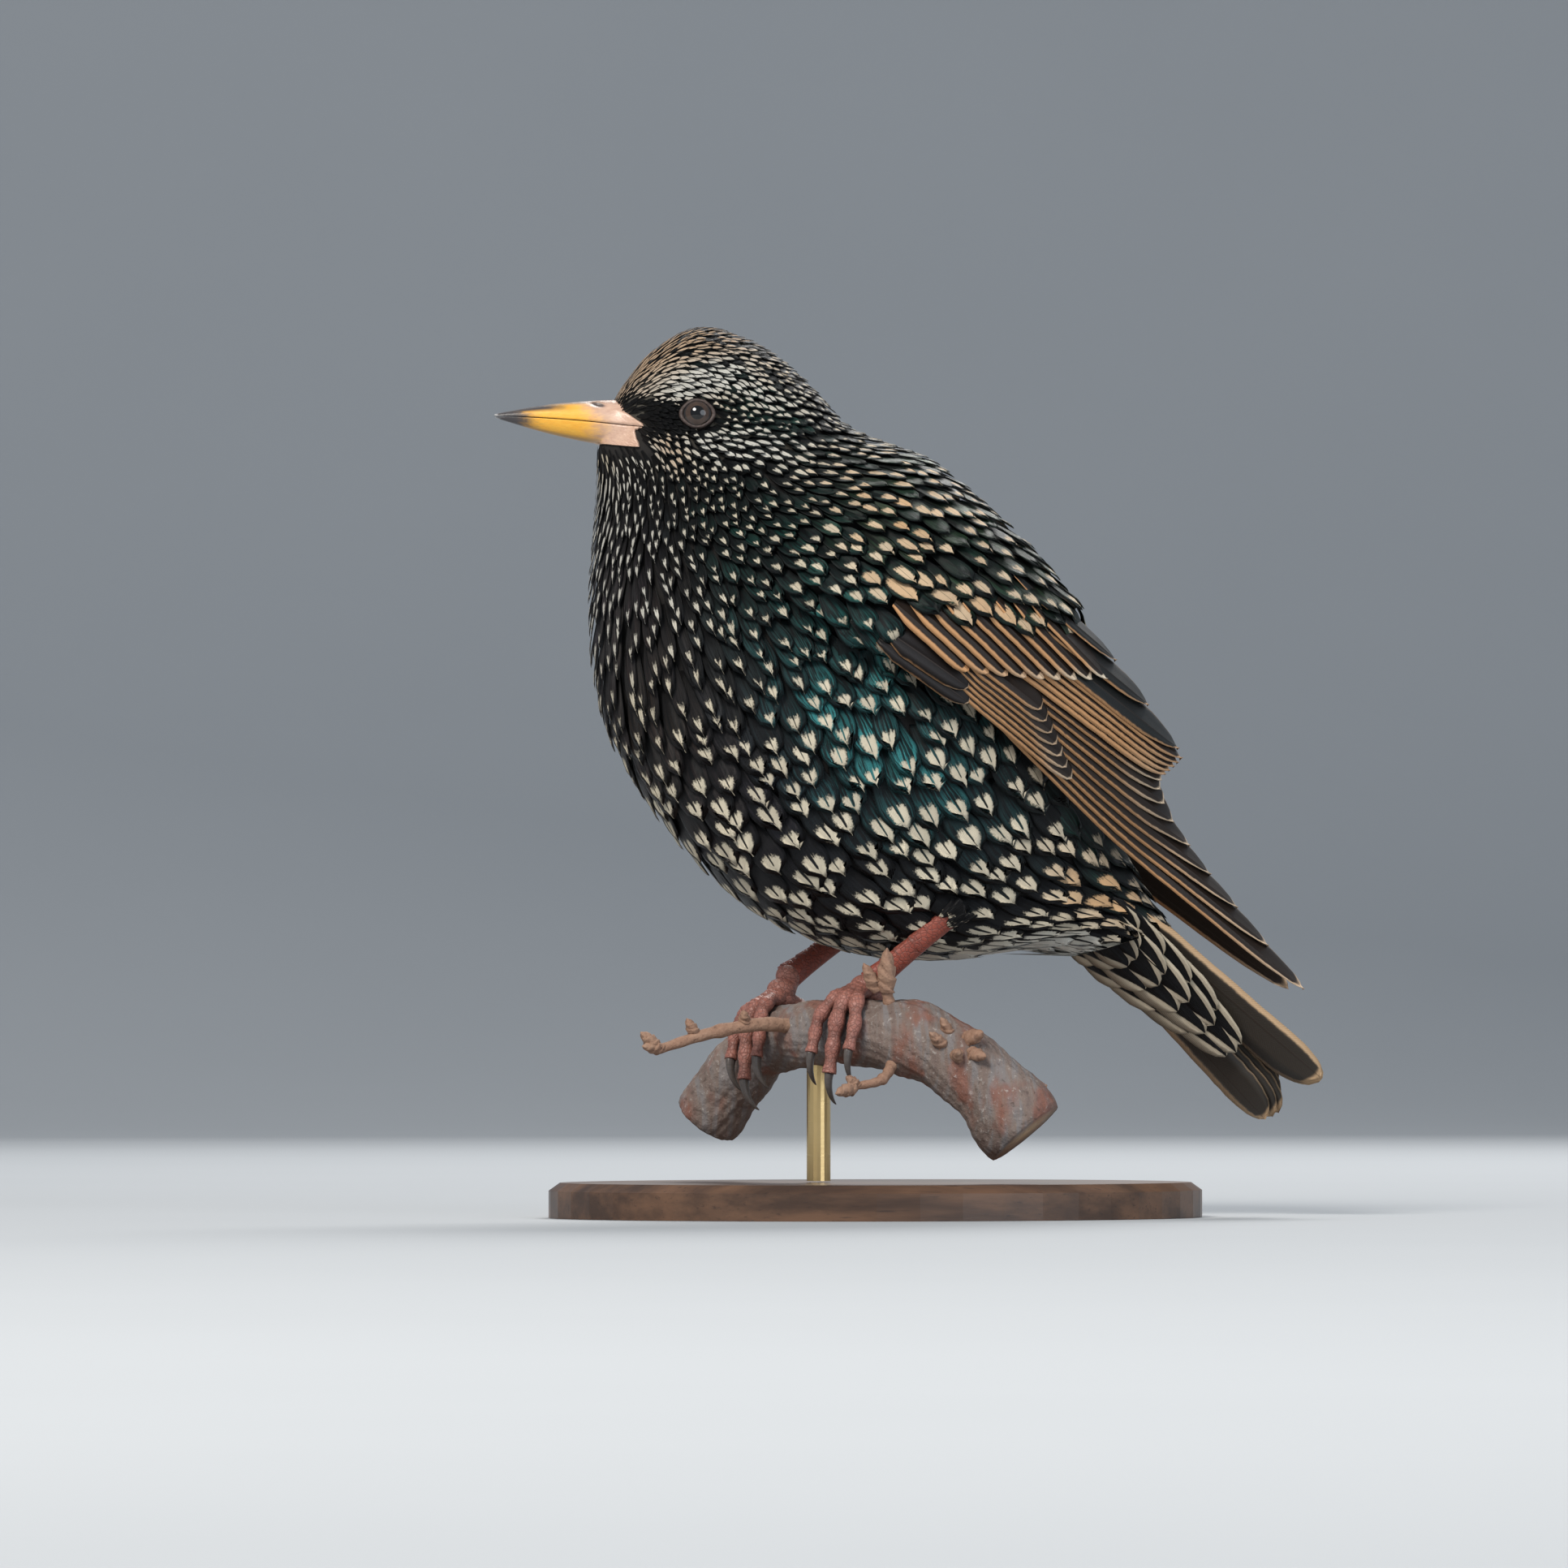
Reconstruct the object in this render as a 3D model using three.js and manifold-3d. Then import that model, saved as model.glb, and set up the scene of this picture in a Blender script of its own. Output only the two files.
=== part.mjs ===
// A perched common starling in winter plumage, life size, on a short cut branch over a plain display stand.
// Millimetres, +Z up. The bird faces -X and its left side is -Y.
// The origin is the middle of the base's underside.
import * as THREE from "three";
import { mergeVertices } from "three/addons/utils/BufferGeometryUtils.js";
import Module from "manifold-3d";

const wasm = await Module();
wasm.setup();

const GAP = 0.3; // between pieces that touch
const VANE_THICK = 0.55; // a feather's vane in the solids

// The body from the bill's root to the tail's root. Each station is a slice across the body:
// its point on the back and on the belly (x, z), half its width, and how high up it is widest.
const BODY = [
  { back: [-53.3, 163.4], belly: [-56.2, 154.8], half: 4.0, widest: 0.45 },
  { back: [-50.3, 167.9], belly: [-57.0, 153.0], half: 6.0, widest: 0.46 },
  { back: [-44.8, 173.9], belly: [-57.0, 151.0], half: 8.6, widest: 0.49 },
  { back: [-35.4, 178.4], belly: [-56.9, 147.8], half: 11.2, widest: 0.53 },
  { back: [-22.6, 174.4], belly: [-57.2, 142.8], half: 13.6, widest: 0.55 },
  { back: [-11.7, 165.4], belly: [-57.8, 135.3], half: 17.4, widest: 0.52 },
  { back: [-3.3, 154.8], belly: [-58.4, 126.5], half: 21.8, widest: 0.5 },
  { back: [6.8, 147.0], belly: [-58.4, 117.1], half: 26.2, widest: 0.52 },
  { back: [17.5, 137.6], belly: [-57.3, 106.6], half: 29.4, widest: 0.54 },
  { back: [26.6, 127.8], belly: [-54.6, 96.6], half: 31.2, widest: 0.55 },
  { back: [34.2, 117.4], belly: [-49.6, 86.8], half: 31.6, widest: 0.54 },
  { back: [39.6, 107.6], belly: [-42.8, 77.4], half: 31.0, widest: 0.52 },
  { back: [43.4, 98.0], belly: [-34.6, 68.8], half: 29.0, widest: 0.5 },
  { back: [46.4, 89.0], belly: [-24.6, 60.6], half: 26.0, widest: 0.49 },
  { back: [48.8, 81.0], belly: [-12.4, 54.8], half: 22.8, widest: 0.48 },
  { back: [51.5, 73.8], belly: [2.0, 51.4], half: 18.8, widest: 0.47 },
  { back: [54.5, 68.0], belly: [16.3, 51.4], half: 15.4, widest: 0.47 },
  { back: [57.5, 63.0], belly: [29.6, 53.4], half: 12.6, widest: 0.48 },
  { back: [60.5, 58.5], belly: [40.5, 52.4], half: 9.8, widest: 0.5 },
];
const HEAD_END = 5;
const NECK_END = 7;
const TORSO_END = 14.6;
const RUMP_END = 18;
const BODY_SIDES = 28;

const EYE = { x: -38.3, z: 159.7, radius: 3.7, sunk: 2.3, opening: 2.7, lid: 0.62, lidSunk: 0.35 };
const BILL = {
  tip: [-77.6, 159.8],
  upperTip: [-77.6, 160.15],
  lowerTip: [-77.0, 159.4],
  rootTop: [-52.6, 163.3],
  gape: [-46.4, 158.3],
  rootLow: [-49.2, 154.0],
  halfWidth: 5.2,
  culmenArch: 0.7,
  gonysArch: 0.8,
  nostril: { at: 0.78, long: 1.5, high: 0.55, back: 1.8, rise: 0.4, share: 0.72 },
};

// The folded wing lies on a sheet. Seen from the side, a runs down it from the wrist and b up across it.
// Each row says how the sheet bends round the body there, which is along an arc of an ellipse.
const WRIST = [-12.8, 123.6];
const WING_SLOPE = THREE.MathUtils.degToRad(38.5);
const SHEET = [
  { a: -8, middle: -9.5, top: 31, side: 29.8 },
  { a: 0, middle: -9.5, top: 31.6, side: 31.2 },
  { a: 10, middle: -11, top: 31.8, side: 33 },
  { a: 20, middle: -12, top: 31.4, side: 33.9 },
  { a: 30, middle: -13, top: 30.4, side: 33.1 },
  { a: 40, middle: -13, top: 28.8, side: 30.6 },
  { a: 50, middle: -12, top: 27.8, side: 27 },
  { a: 60, middle: -11, top: 26.6, side: 23.2 },
  { a: 67, middle: -10, top: 25.2, side: 20 },
  { a: 76, middle: -9, top: 21.5, side: 16.5 },
  { a: 84, middle: -8, top: 13, side: 14 },
  { a: 95, middle: -7, top: 9, side: 12.5 },
  { a: 128, middle: -5, top: 4, side: 7.5 },
];
// The long feathers of the wing's end, from the outermost to the innermost.
const PRIMARIES = {
  count: 8,
  root: [[22, 1.4], [28, 8.5]],
  tip: [[126, 0.3], [76, 13]],
  fall: 1.9,
  outer: [1.5, 1.9],
  inner: [3.6, 4.6],
  low: [1.2, 3.0],
  high: [0.1, 1.8],
  sag: [1.2, 0.2],
  blunt: [0.86, 0.8],
};
// The rows that lie over one another up the wing. Each has a first and a last root, tip and width.
const WING_TIERS = [
  // secondaries
  {
    count: 3,
    roots: [[27, 9.5], [30, 15]],
    tips: [[76, 14.2], [77.5, 18.4]],
    width: [5.6, 6.2],
    low: 3.5,
    high: 2.2,
    climb: 0.16,
    blunt: 0.84,
  },
  // tertials
  {
    count: 3,
    roots: [[30, 16], [26, 23.4]],
    tips: [[75.5, 19.2], [54, 24]],
    width: [8.4, 8.4],
    low: 4.2,
    high: 3.0,
    climb: 0.2,
    blunt: 0.7,
  },
  // primary coverts
  {
    count: 3,
    roots: [[27, 0.8], [27, 4.4]],
    tips: [[59.5, 1.4], [48.5, 6.2]],
    width: [4.4, 4.4],
    low: 2.5,
    high: 1.7,
    climb: 0.4,
    blunt: 0.8,
  },
  // greater coverts
  {
    count: 6,
    roots: [[10.5, 5.2], [31, 20.8]],
    tips: [[31, 4.4], [55, 19.4]],
    width: [7.0, 7.4],
    low: 4.3,
    high: 3.0,
    bow: 1.2,
  },
  // median coverts
  {
    count: 3,
    roots: [[3, 9.6], [21, 20.6]],
    tips: [[17, 8.8], [35, 20.2]],
    width: [9.0, 9.6],
    low: 4.7,
    high: 3.3,
  },
];
const ALULA = { root: [14, -1.2], tip: [35, 0.9], outer: 2.6, inner: 3.6, low: 2.7, high: 2.2, blunt: 0.75 };
const VANE_STOPS = [0, 0.45, 0, 0.6, 1]; // shares of the vane's length: the third is where its tip begins

const TAIL = {
  root: [48.6, 60.8],
  slope: THREE.MathUtils.degToRad(43.5),
  roll: THREE.MathUtils.degToRad(40),
  length: 54,
  pairs: 6,
  width: 10.4,
  rootAside: [1.2, 5.2],
  tipAside: [4.0, 9.2],
  levels: [2.4, -2.4],
};

const PERCH_ROUTE = [
  [-30, 26, 19.5],
  [-24.5, 20.5, 28.5],
  [-19.5, 13.5, 34.5],
  [-13, 0, 36.6],
  [-6.5, -12.5, 37],
  [6, -21, 34.8],
  [17, -27, 26.5],
  [24.5, -30, 17],
];
const PERCH_RADIUS = { left: 6.9, middle: 6.4, right: 8.6 };
const PERCH_SIDES = 12;

const FEET = {
  left: { along: 0.555, ankle: [-3.0, -12.0, 47.2], heel: [18.6, -20.5, 66.2] },
  right: { along: 0.285, ankle: [-15.5, 13.3, 48.3], heel: [8.6, 16.5, 65.6] },
};
const TOES = [
  { name: "inner", length: 16.5, wrap: 72, spread: 4.6, thick: 1.55 },
  { name: "middle", length: 21.5, wrap: 80, spread: 0.3, thick: 1.75 },
  { name: "outer", length: 17.5, wrap: 74, spread: -4.4, thick: 1.55 },
  { name: "hind", length: 12.5, wrap: 78, spread: 0.4, thick: 1.8 },
];
const CLAW = { length: 7.2, bend: 1.25, thick: 1.05 };
const TARSUS = { deep: 2.15, wide: 1.6, scutes: 7, step: 0.16, socket: 9 };

const BASE = { halfLong: 66, halfWide: 47, thick: 7, bevel: 1.6, centreX: 0 };
const ROD_RADIUS = 2.4;

const finish = (color, roughness, metalness = 0) =>
  new THREE.MeshStandardMaterial({ color, roughness, metalness });
const MATERIALS = {
  plumage: finish(0x15191a, 0.5),
  wing: finish(0x3a2a1d, 0.55),
  tail: finish(0x2c2622, 0.55),
  bill: finish(0xe6b05a, 0.4),
  eye: finish(0x1a1210, 0.08),
  leg: finish(0x9a4436, 0.5),
  claw: finish(0x2a2422, 0.35),
  bark: finish(0x7d6a60, 0.8),
  wood: finish(0x4a3020, 0.45),
  rod: finish(0xb08d4a, 0.3, 1),
};

const { lerp, clamp } = THREE.MathUtils;
const vector = (x, y, z) => new THREE.Vector3(x, y, z);

// A smooth value at t along a list of numbers, passing through each.
function smoothly(list, t) {
  const last = list.length - 1;
  const place = clamp(t, 0, last);
  const i = Math.min(Math.floor(place), last - 1);
  const f = place - i;
  const [p0, p1, p2, p3] = [list[Math.max(i - 1, 0)], list[i], list[i + 1], list[Math.min(i + 2, last)]];
  const slopeIn = (p2 - p0) / 2;
  const slopeOut = (p3 - p1) / 2;
  return (
    p1 * (1 + 2 * f) * (1 - f) ** 2 +
    slopeIn * f * (1 - f) ** 2 +
    p2 * f * f * (3 - 2 * f) +
    slopeOut * f * f * (f - 1)
  );
}

// A closed solid from points and faces, turned to face out.
function solidFrom(points, faces) {
  const vertProperties = new Float32Array(points.flatMap((p) => [p.x, p.y, p.z]));
  const make = (triVerts) => new wasm.Manifold(new wasm.Mesh({ numProp: 3, vertProperties, triVerts }));
  const made = make(new Uint32Array(faces));
  if (made.volume() >= 0) return made;
  const turned = new Uint32Array(faces);
  for (let i = 0; i < turned.length; i += 3) [turned[i + 1], turned[i + 2]] = [turned[i + 2], turned[i + 1]];
  return make(turned);
}

// A skin over rings of points, closed by a lid on the first and the last ring.
function loft(rings) {
  const around = rings[0].length;
  const points = rings.flat();
  const faces = [];
  rings.slice(1).forEach((_, r) => {
    for (let k = 0; k < around; k++) {
      const a = r * around + k;
      const b = r * around + ((k + 1) % around);
      faces.push(a, b, a + around, b, b + around, a + around);
    }
  });
  const lid = (ring, first, forward) => {
    const middle = ring.reduce((sum, p) => sum.add(p), vector(0, 0, 0)).divideScalar(around);
    const centre = points.push(middle) - 1;
    for (let k = 0; k < around; k++) {
      const [a, b] = [first + k, first + ((k + 1) % around)];
      faces.push(...(forward ? [a, centre, b] : [b, centre, a]));
    }
  };
  lid(rings[0], 0, true);
  lid(rings.at(-1), (rings.length - 1) * around, false);
  return solidFrom(points, faces);
}

// A three.js geometry as a solid.
function solidOf(geometry) {
  const bare = new THREE.BufferGeometry().setAttribute("position", geometry.getAttribute("position"));
  if (geometry.index) bare.setIndex(geometry.index);
  const merged = mergeVertices(bare, 1e-3);
  const at = merged.getAttribute("position");
  const points = Array.from({ length: at.count }, (_, i) => new THREE.Vector3().fromBufferAttribute(at, i));
  return solidFrom(points, [...merged.index.array]);
}

const joined = (solids) => solids.reduce((whole, next) => whole.add(next));

// The largest closed piece of a solid.
function largest(solid) {
  return solid.decompose().reduce((best, piece) => (piece.volume() > best.volume() ? piece : best));
}

const group = new THREE.Group();

function addNode(name, solid, material) {
  const { vertProperties, triVerts } = largest(solid).getMesh();
  const geometry = new THREE.BufferGeometry();
  geometry.setAttribute("position", new THREE.BufferAttribute(vertProperties, 3));
  geometry.setIndex(new THREE.BufferAttribute(triVerts, 1));
  geometry.computeVertexNormals();
  const mesh = new THREE.Mesh(geometry, material);
  mesh.name = name;
  group.add(mesh);
}

// The slice of the body at station s: the back and belly points, half its width and where it is widest.
function slice(s) {
  const at = (read) => smoothly(BODY.map(read), s);
  return {
    back: vector(at((b) => b.back[0]), 0, at((b) => b.back[1])),
    belly: vector(at((b) => b.belly[0]), 0, at((b) => b.belly[1])),
    half: at((b) => b.half),
    widest: at((b) => b.widest),
  };
}

// A point on the body at station s, turned by an angle from the back, grown outwards and slid along.
function onBody(s, angle, grow = 0, slide = 0) {
  const { back, belly, half, widest } = slice(s);
  const up = back.clone().sub(belly);
  const height = up.length();
  up.normalize();
  const c = Math.cos(angle);
  const share = widest + (c > 0 ? 1 - widest : widest) * c;
  const along = vector(-up.z, 0, up.x);
  return belly
    .clone()
    .addScaledVector(up, share * height + grow * c)
    .addScaledVector(along, -slide)
    .add(vector(0, -(half + grow) * Math.sin(angle), 0));
}

function bodyRing(s, grow = 0, slide = 0) {
  const turn = (2 * Math.PI) / BODY_SIDES;
  return Array.from({ length: BODY_SIDES }, (_, k) => onBody(s, turn * k, grow, slide));
}

// A length of the body between two stations, each end drawn back by half a gap.
function bodyLength(from, to, steps, grow = 0) {
  const rings = Array.from({ length: steps + 1 }, (_, i) => {
    const slide = i === 0 ? GAP / 2 : i === steps ? -GAP / 2 : 0;
    return bodyRing(lerp(from, to, i / steps), grow, slide);
  });
  return loft(rings);
}

function headSolid() {
  let head = bodyLength(0, HEAD_END, 11);
  for (const side of [-1, 1]) {
    const surface = headWidthAtEye();
    const outward = vector(-0.16, side, 0.1).normalize();
    const centre = vector(EYE.x, side * (surface - EYE.sunk), EYE.z);
    const lidRing = [];
    const lidTurns = 16;
    const lidSides = 5;
    for (let i = 0; i < lidTurns; i++) {
      const turn = (2 * Math.PI * i) / lidTurns;
      const across = new THREE.Vector3().crossVectors(outward, vector(0, 0, 1)).normalize();
      const upward = new THREE.Vector3().crossVectors(across, outward).normalize();
      const radial = across.multiplyScalar(Math.cos(turn)).addScaledVector(upward, Math.sin(turn) * 0.92);
      const rimOut = Math.sqrt(EYE.radius ** 2 - EYE.opening ** 2);
      const core = centre.clone();
      core.addScaledVector(radial, EYE.opening + EYE.lid).addScaledVector(outward, rimOut - EYE.lidSunk);
      lidRing.push(
        Array.from({ length: lidSides }, (_, k) => {
          const w = (2 * Math.PI * k) / lidSides;
          return core
            .clone()
            .addScaledVector(radial, Math.cos(w) * EYE.lid)
            .addScaledVector(outward, Math.sin(w) * EYE.lid * 1.25);
        }),
      );
    }
    head = head.add(hoop(lidRing));
    head = head.subtract(eyeBall(side, EYE.radius + GAP));
  }
  return head;
}

// A closed ring of rings, such as a lid round an eye.
function hoop(rings) {
  const around = rings[0].length;
  const faces = [];
  rings.forEach((_, r) => {
    const next = (r + 1) % rings.length;
    for (let k = 0; k < around; k++) {
      const [a, b] = [r * around + k, r * around + ((k + 1) % around)];
      const [c, d] = [next * around + k, next * around + ((k + 1) % around)];
      faces.push(a, b, c, b, d, c);
    }
  });
  return solidFrom(rings.flat(), faces);
}

// Half the head's width at the eye's place.
function headWidthAtEye() {
  let best = 0;
  let nearest = Infinity;
  for (let s = 1; s < HEAD_END; s += 0.05)
    for (let angle = 0.2; angle < 2.9; angle += 0.05) {
      const p = onBody(s, angle);
      const miss = Math.hypot(p.x - EYE.x, p.z - EYE.z);
      if (miss < nearest) [nearest, best] = [miss, -p.y];
    }
  return best;
}

function eyeBall(side, radius) {
  const ball = new THREE.SphereGeometry(radius, 14, 9);
  ball.rotateX(Math.PI / 2);
  ball.translate(EYE.x, side * (headWidthAtEye() - EYE.sunk), EYE.z);
  return solidOf(ball);
}

// The bill: each half is a run of slices from its root to the tip. u is 0 at the root and 1 at the tip.
function billHalf(upper) {
  const steps = 9;
  const sides = 12;
  const rings = [];
  const mouth = (u) => [lerp(BILL.gape[0], BILL.tip[0], u), lerp(BILL.gape[1], BILL.tip[1] - 0.1, u)];
  for (let i = 0; i <= steps; i++) {
    const u = lerp(0.0, 0.985, 1 - (1 - i / steps) ** 1.25);
    const arch = Math.sin(Math.PI * u);
    const [root, tip, bow] = upper
      ? [BILL.rootTop, BILL.upperTip, BILL.culmenArch]
      : [BILL.rootLow, BILL.lowerTip, -BILL.gonysArch];
    const edge = [lerp(root[0], tip[0], u), lerp(root[1], tip[1], u) + bow * arch];
    const line = mouth(u);
    const half = BILL.halfWidth * (1 - u) ** 0.8 + 0.35;
    const flip = upper ? 1 : -1;
    rings.push(
      Array.from({ length: sides }, (_, k) => {
        const angle = (Math.PI * k) / (sides - 1);
        const rise = Math.sin(angle) ** 0.9;
        const y = half * Math.cos(angle);
        return vector(
          lerp(line[0], edge[0], rise),
          y,
          lerp(line[1] + (flip * GAP) / 2, edge[1], rise),
        );
      }),
    );
  }
  let bill = loft(rings);
  if (upper)
    for (const side of [-1, 1]) {
      const { at, long, high, back, rise, share } = BILL.nostril;
      const pit = new THREE.SphereGeometry(1, 10, 6);
      pit.scale(long, 1.0, high);
      pit.rotateY(0.12);
      const level = lerp(BILL.gape[1], BILL.rootTop[1], share) + rise;
      pit.translate(BILL.rootTop[0] - back, side * BILL.halfWidth * at, level);
      bill = bill.subtract(solidOf(pit));
    }
  return bill;
}

// Where the wing's sheet is: a down the wing, b up across it, aside further round the arc, and lift off it.
function onSheet(a, b, aside, lift, side) {
  const rows = SHEET.map((row) => row.a);
  let i = rows.findIndex((row) => row > a);
  i = i < 0 ? rows.length - 1 : Math.max(i, 1);
  const t = i - 1 + (a - rows[i - 1]) / (rows[i] - rows[i - 1]);
  const middle = smoothly(SHEET.map((row) => row.middle), t);
  const high = smoothly(SHEET.map((row) => row.top), t) - middle;
  const wide = smoothly(SHEET.map((row) => row.side), t);
  const entered = Math.asin(clamp((b - middle) / high, -0.98, 0.98));
  const angle = clamp(entered + (2 * aside) / (high + wide), -0.6, 1.45);
  const normal = new THREE.Vector2(Math.sin(angle) / high, Math.cos(angle) / wide).normalize();
  const across = middle + high * Math.sin(angle) + normal.x * lift;
  const out = wide * Math.cos(angle) + normal.y * lift;
  const [cos, sin] = [Math.cos(WING_SLOPE), Math.sin(WING_SLOPE)];
  return vector(WRIST[0] + a * cos + across * sin, side * out, WRIST[1] - a * sin + across * cos);
}

// A feather's half-width as a share of its full width, along its length from the root to the rounded tip.
function featherShape(u, blunt) {
  const tip = Math.sqrt(Math.max(1 - ((u - blunt) / (1 - blunt)) ** 2, 0));
  const rising = Math.min(1, 0.55 + 1.5 * u);
  return rising * (u > blunt ? Math.max(tip, 0.1) : 1);
}

// One vane: a thin plate, four corners to a slice, from its root to its tip.
function vane(feather, place) {
  const { root, tip, outer, inner, low, high, sag = 0, blunt = 0.72 } = feather;
  const [start, middle, , halfTip, end] = VANE_STOPS;
  const stops = [start, middle, blunt, lerp(blunt, 1, halfTip), end];
  const rings = stops.map((u) => {
    const a = lerp(root[0], tip[0], u);
    const b = lerp(root[1], tip[1], u) - sag * Math.sin(Math.PI * u);
    const shape = featherShape(u, blunt);
    const lift = (share) => lerp(low, high, share);
    return [
      place(a, b, -outer * shape, lift(0) + VANE_THICK),
      place(a, b, inner * shape, lift(1) + VANE_THICK),
      place(a, b, inner * shape, lift(1)),
      place(a, b, -outer * shape, lift(0)),
    ];
  });
  return vaneSkin(rings);
}

// The vane's faces, split into triangles alike on both sides so that thin curved plates never cross.
function vaneSkin(rings) {
  const around = rings[0].length;
  const faces = [];
  rings.slice(1).forEach((_, r) => {
    const at = (ring, k) => (r + ring) * around + (k % around);
    const half = around / 2;
    for (let k = 0; k < around; k++) {
      const [a, b, c, d] = [at(0, k), at(0, k + 1), at(1, k), at(1, k + 1)];
      if (k < half) faces.push(a, b, d, a, d, c);
      else faces.push(a, b, c, b, d, c);
    }
  });
  const lid = (first, forward) => {
    for (let k = 0; k < around / 2 - 1; k++) {
      const [a, b] = [first + k, first + k + 1];
      const [c, d] = [first + around - 1 - k, first + around - 2 - k];
      const quad = [a, c, d, a, d, b];
      faces.push(...(forward ? quad : quad.reverse()));
    }
  };
  lid(0, true);
  lid((rings.length - 1) * around, false);
  return solidFrom(rings.flat(), faces);
}

// A row of feathers whose roots and tips lie on straight lines, from its lowest to its highest.
function tier({ count, roots, tips, width, low, high, blunt = 0.72, bow = 0, climb = 0 }) {
  return Array.from({ length: count }, (_, i) => {
    const f = count > 1 ? i / (count - 1) : 0.5;
    const between = (ends) => [lerp(ends[0][0], ends[1][0], f), lerp(ends[0][1], ends[1][1], f)];
    const tip = between(tips);
    tip[0] += bow * Math.sin(Math.PI * f);
    const full = lerp(width[0], width[1], f);
    const lifts = { low: low + climb * i, high: high + climb * i };
    return { root: between(roots), tip, outer: full * 0.36, inner: full * 0.64, ...lifts, blunt };
  });
}

function wingFeathers() {
  const { count, root, tip, outer, inner, low, high, sag, blunt, fall } = PRIMARIES;
  const primaries = Array.from({ length: count }, (_, i) => {
    const f = i / (count - 1);
    return {
      root: [lerp(root[0][0], root[1][0], f), lerp(root[0][1], root[1][1], f)],
      tip: [lerp(tip[1][0], tip[0][0], (1 - f) ** fall), lerp(tip[0][1], tip[1][1], f ** 0.9)],
      outer: lerp(...outer, f),
      inner: lerp(...inner, f),
      low: lerp(...low, f),
      high: lerp(...high, f),
      sag: lerp(...sag, f),
      blunt: lerp(...blunt, f),
    };
  });
  return [...primaries, ...WING_TIERS.flatMap(tier), ALULA];
}

// The arm and the feathers' roots: a thick pad between the body and the sheet, thinning down the wing.
function wingPad(side) {
  const across = 7;
  const reach = { from: -5, to: 60 };
  const rings = Array.from({ length: 9 }, (_, i) => {
    const u = i / 8;
    const a = lerp(reach.from, reach.to, u);
    const low = lerp(8.5, 0.6, Math.min(1, u * 2.4) ** 0.8);
    const top = lerp(15, 22.5, Math.sin(Math.PI * Math.min(0.75, u * 1.4)));
    const lift = lerp(-1.6, 2.7, Math.sin(Math.PI * lerp(0.02, 0.86, u)) ** 0.8);
    const deep = lerp(9, 1.2, u ** 2);
    const arc = (height) => (_, k) => onSheet(a, lerp(low, top, k / (across - 1)), 0, height, side);
    const outside = Array.from({ length: across }, arc(lift));
    const inside = Array.from({ length: across }, arc(-deep)).reverse();
    return [...outside, ...inside];
  });
  return loft(rings);
}

function wingSolid(side) {
  const place = (a, b, aside, lift) => onSheet(a, b, aside, lift, side);
  const feathers = wingFeathers().map((feather) => vane(feather, place));
  const bodyRoom = bodyLength(2, RUMP_END, 32, GAP);
  return joined([wingPad(side), ...feathers]).subtract(bodyRoom);
}

// The tail: pairs of feathers fanned from one root, the middle pair on top, its plane rolled to one side.
function onTail(along, across, lift) {
  const { root, slope, roll } = TAIL;
  const axis = vector(Math.cos(slope), 0, -Math.sin(slope));
  const up = vector(Math.sin(slope), 0, Math.cos(slope));
  const wide = vector(0, -Math.cos(roll), 0).addScaledVector(up, Math.sin(roll));
  const normal = up.clone().multiplyScalar(Math.cos(roll)).add(vector(0, Math.sin(roll), 0));
  return vector(root[0], 0, root[1])
    .addScaledVector(axis, along)
    .addScaledVector(wide, across)
    .addScaledVector(normal, lift);
}

const alongTail = (along, across, aside, lift) => onTail(along, across + aside, lift);

// The rump, with the long coverts that lie under the tail's root.
function rumpSolid() {
  const { levels } = TAIL;
  const under = (drop) => levels[1] - drop;
  const tiers = [
    { tips: 34, aside: 2.6, count: 3, width: 8.5, drop: 1.5 },
    { tips: 25, aside: 5.8, count: 3, width: 8.6, drop: 2.4 },
    { tips: 16, aside: 7.2, count: 4, width: 8.0, drop: 3.4 },
  ];
  const coverts = tiers.flatMap(({ tips, aside, count, width, drop }) =>
    Array.from({ length: count }, (_, i) => {
      const across = count > 1 ? lerp(-aside, aside, i / (count - 1)) : 0;
      const lean = 0.25 * Math.sign(across || 1);
      return vane(
        {
          root: [1, across * 0.8],
          tip: [tips - 0.12 * across * across, across],
          outer: width / 2,
          inner: width / 2,
          low: under(drop) - VANE_THICK - lean,
          high: under(drop) - VANE_THICK + lean,
          blunt: 0.7,
        },
        alongTail,
      );
    }),
  );
  const wedge = loft(
    [0, 0.35, 0.7, 1].map((u) => {
      const wide = lerp(8.2, 3.2, u);
      const deep = lerp(4.2, 0.7, u);
      return Array.from({ length: 12 }, (_, k) => {
        const turn = (2 * Math.PI * k) / 12;
        return onTail(lerp(-3, 22, u), wide * Math.cos(turn), under(1.2) - deep * (1 + Math.sin(turn)));
      });
    }),
  );
  const tailRoom = onTailSlab(-2, 40, 16, levels[1] - 0.9, 9);
  return bodyLength(TORSO_END, RUMP_END, 6).add(joined([wedge, ...coverts]).subtract(tailRoom));
}

// A flat box round the tail's middle line.
function onTailSlab(from, to, wide, low, high) {
  const ring = (along) => [
    onTail(along, -wide, low),
    onTail(along, wide, low),
    onTail(along, wide, high),
    onTail(along, -wide, high),
  ];
  return loft([ring(from), ring(to)]);
}

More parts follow.
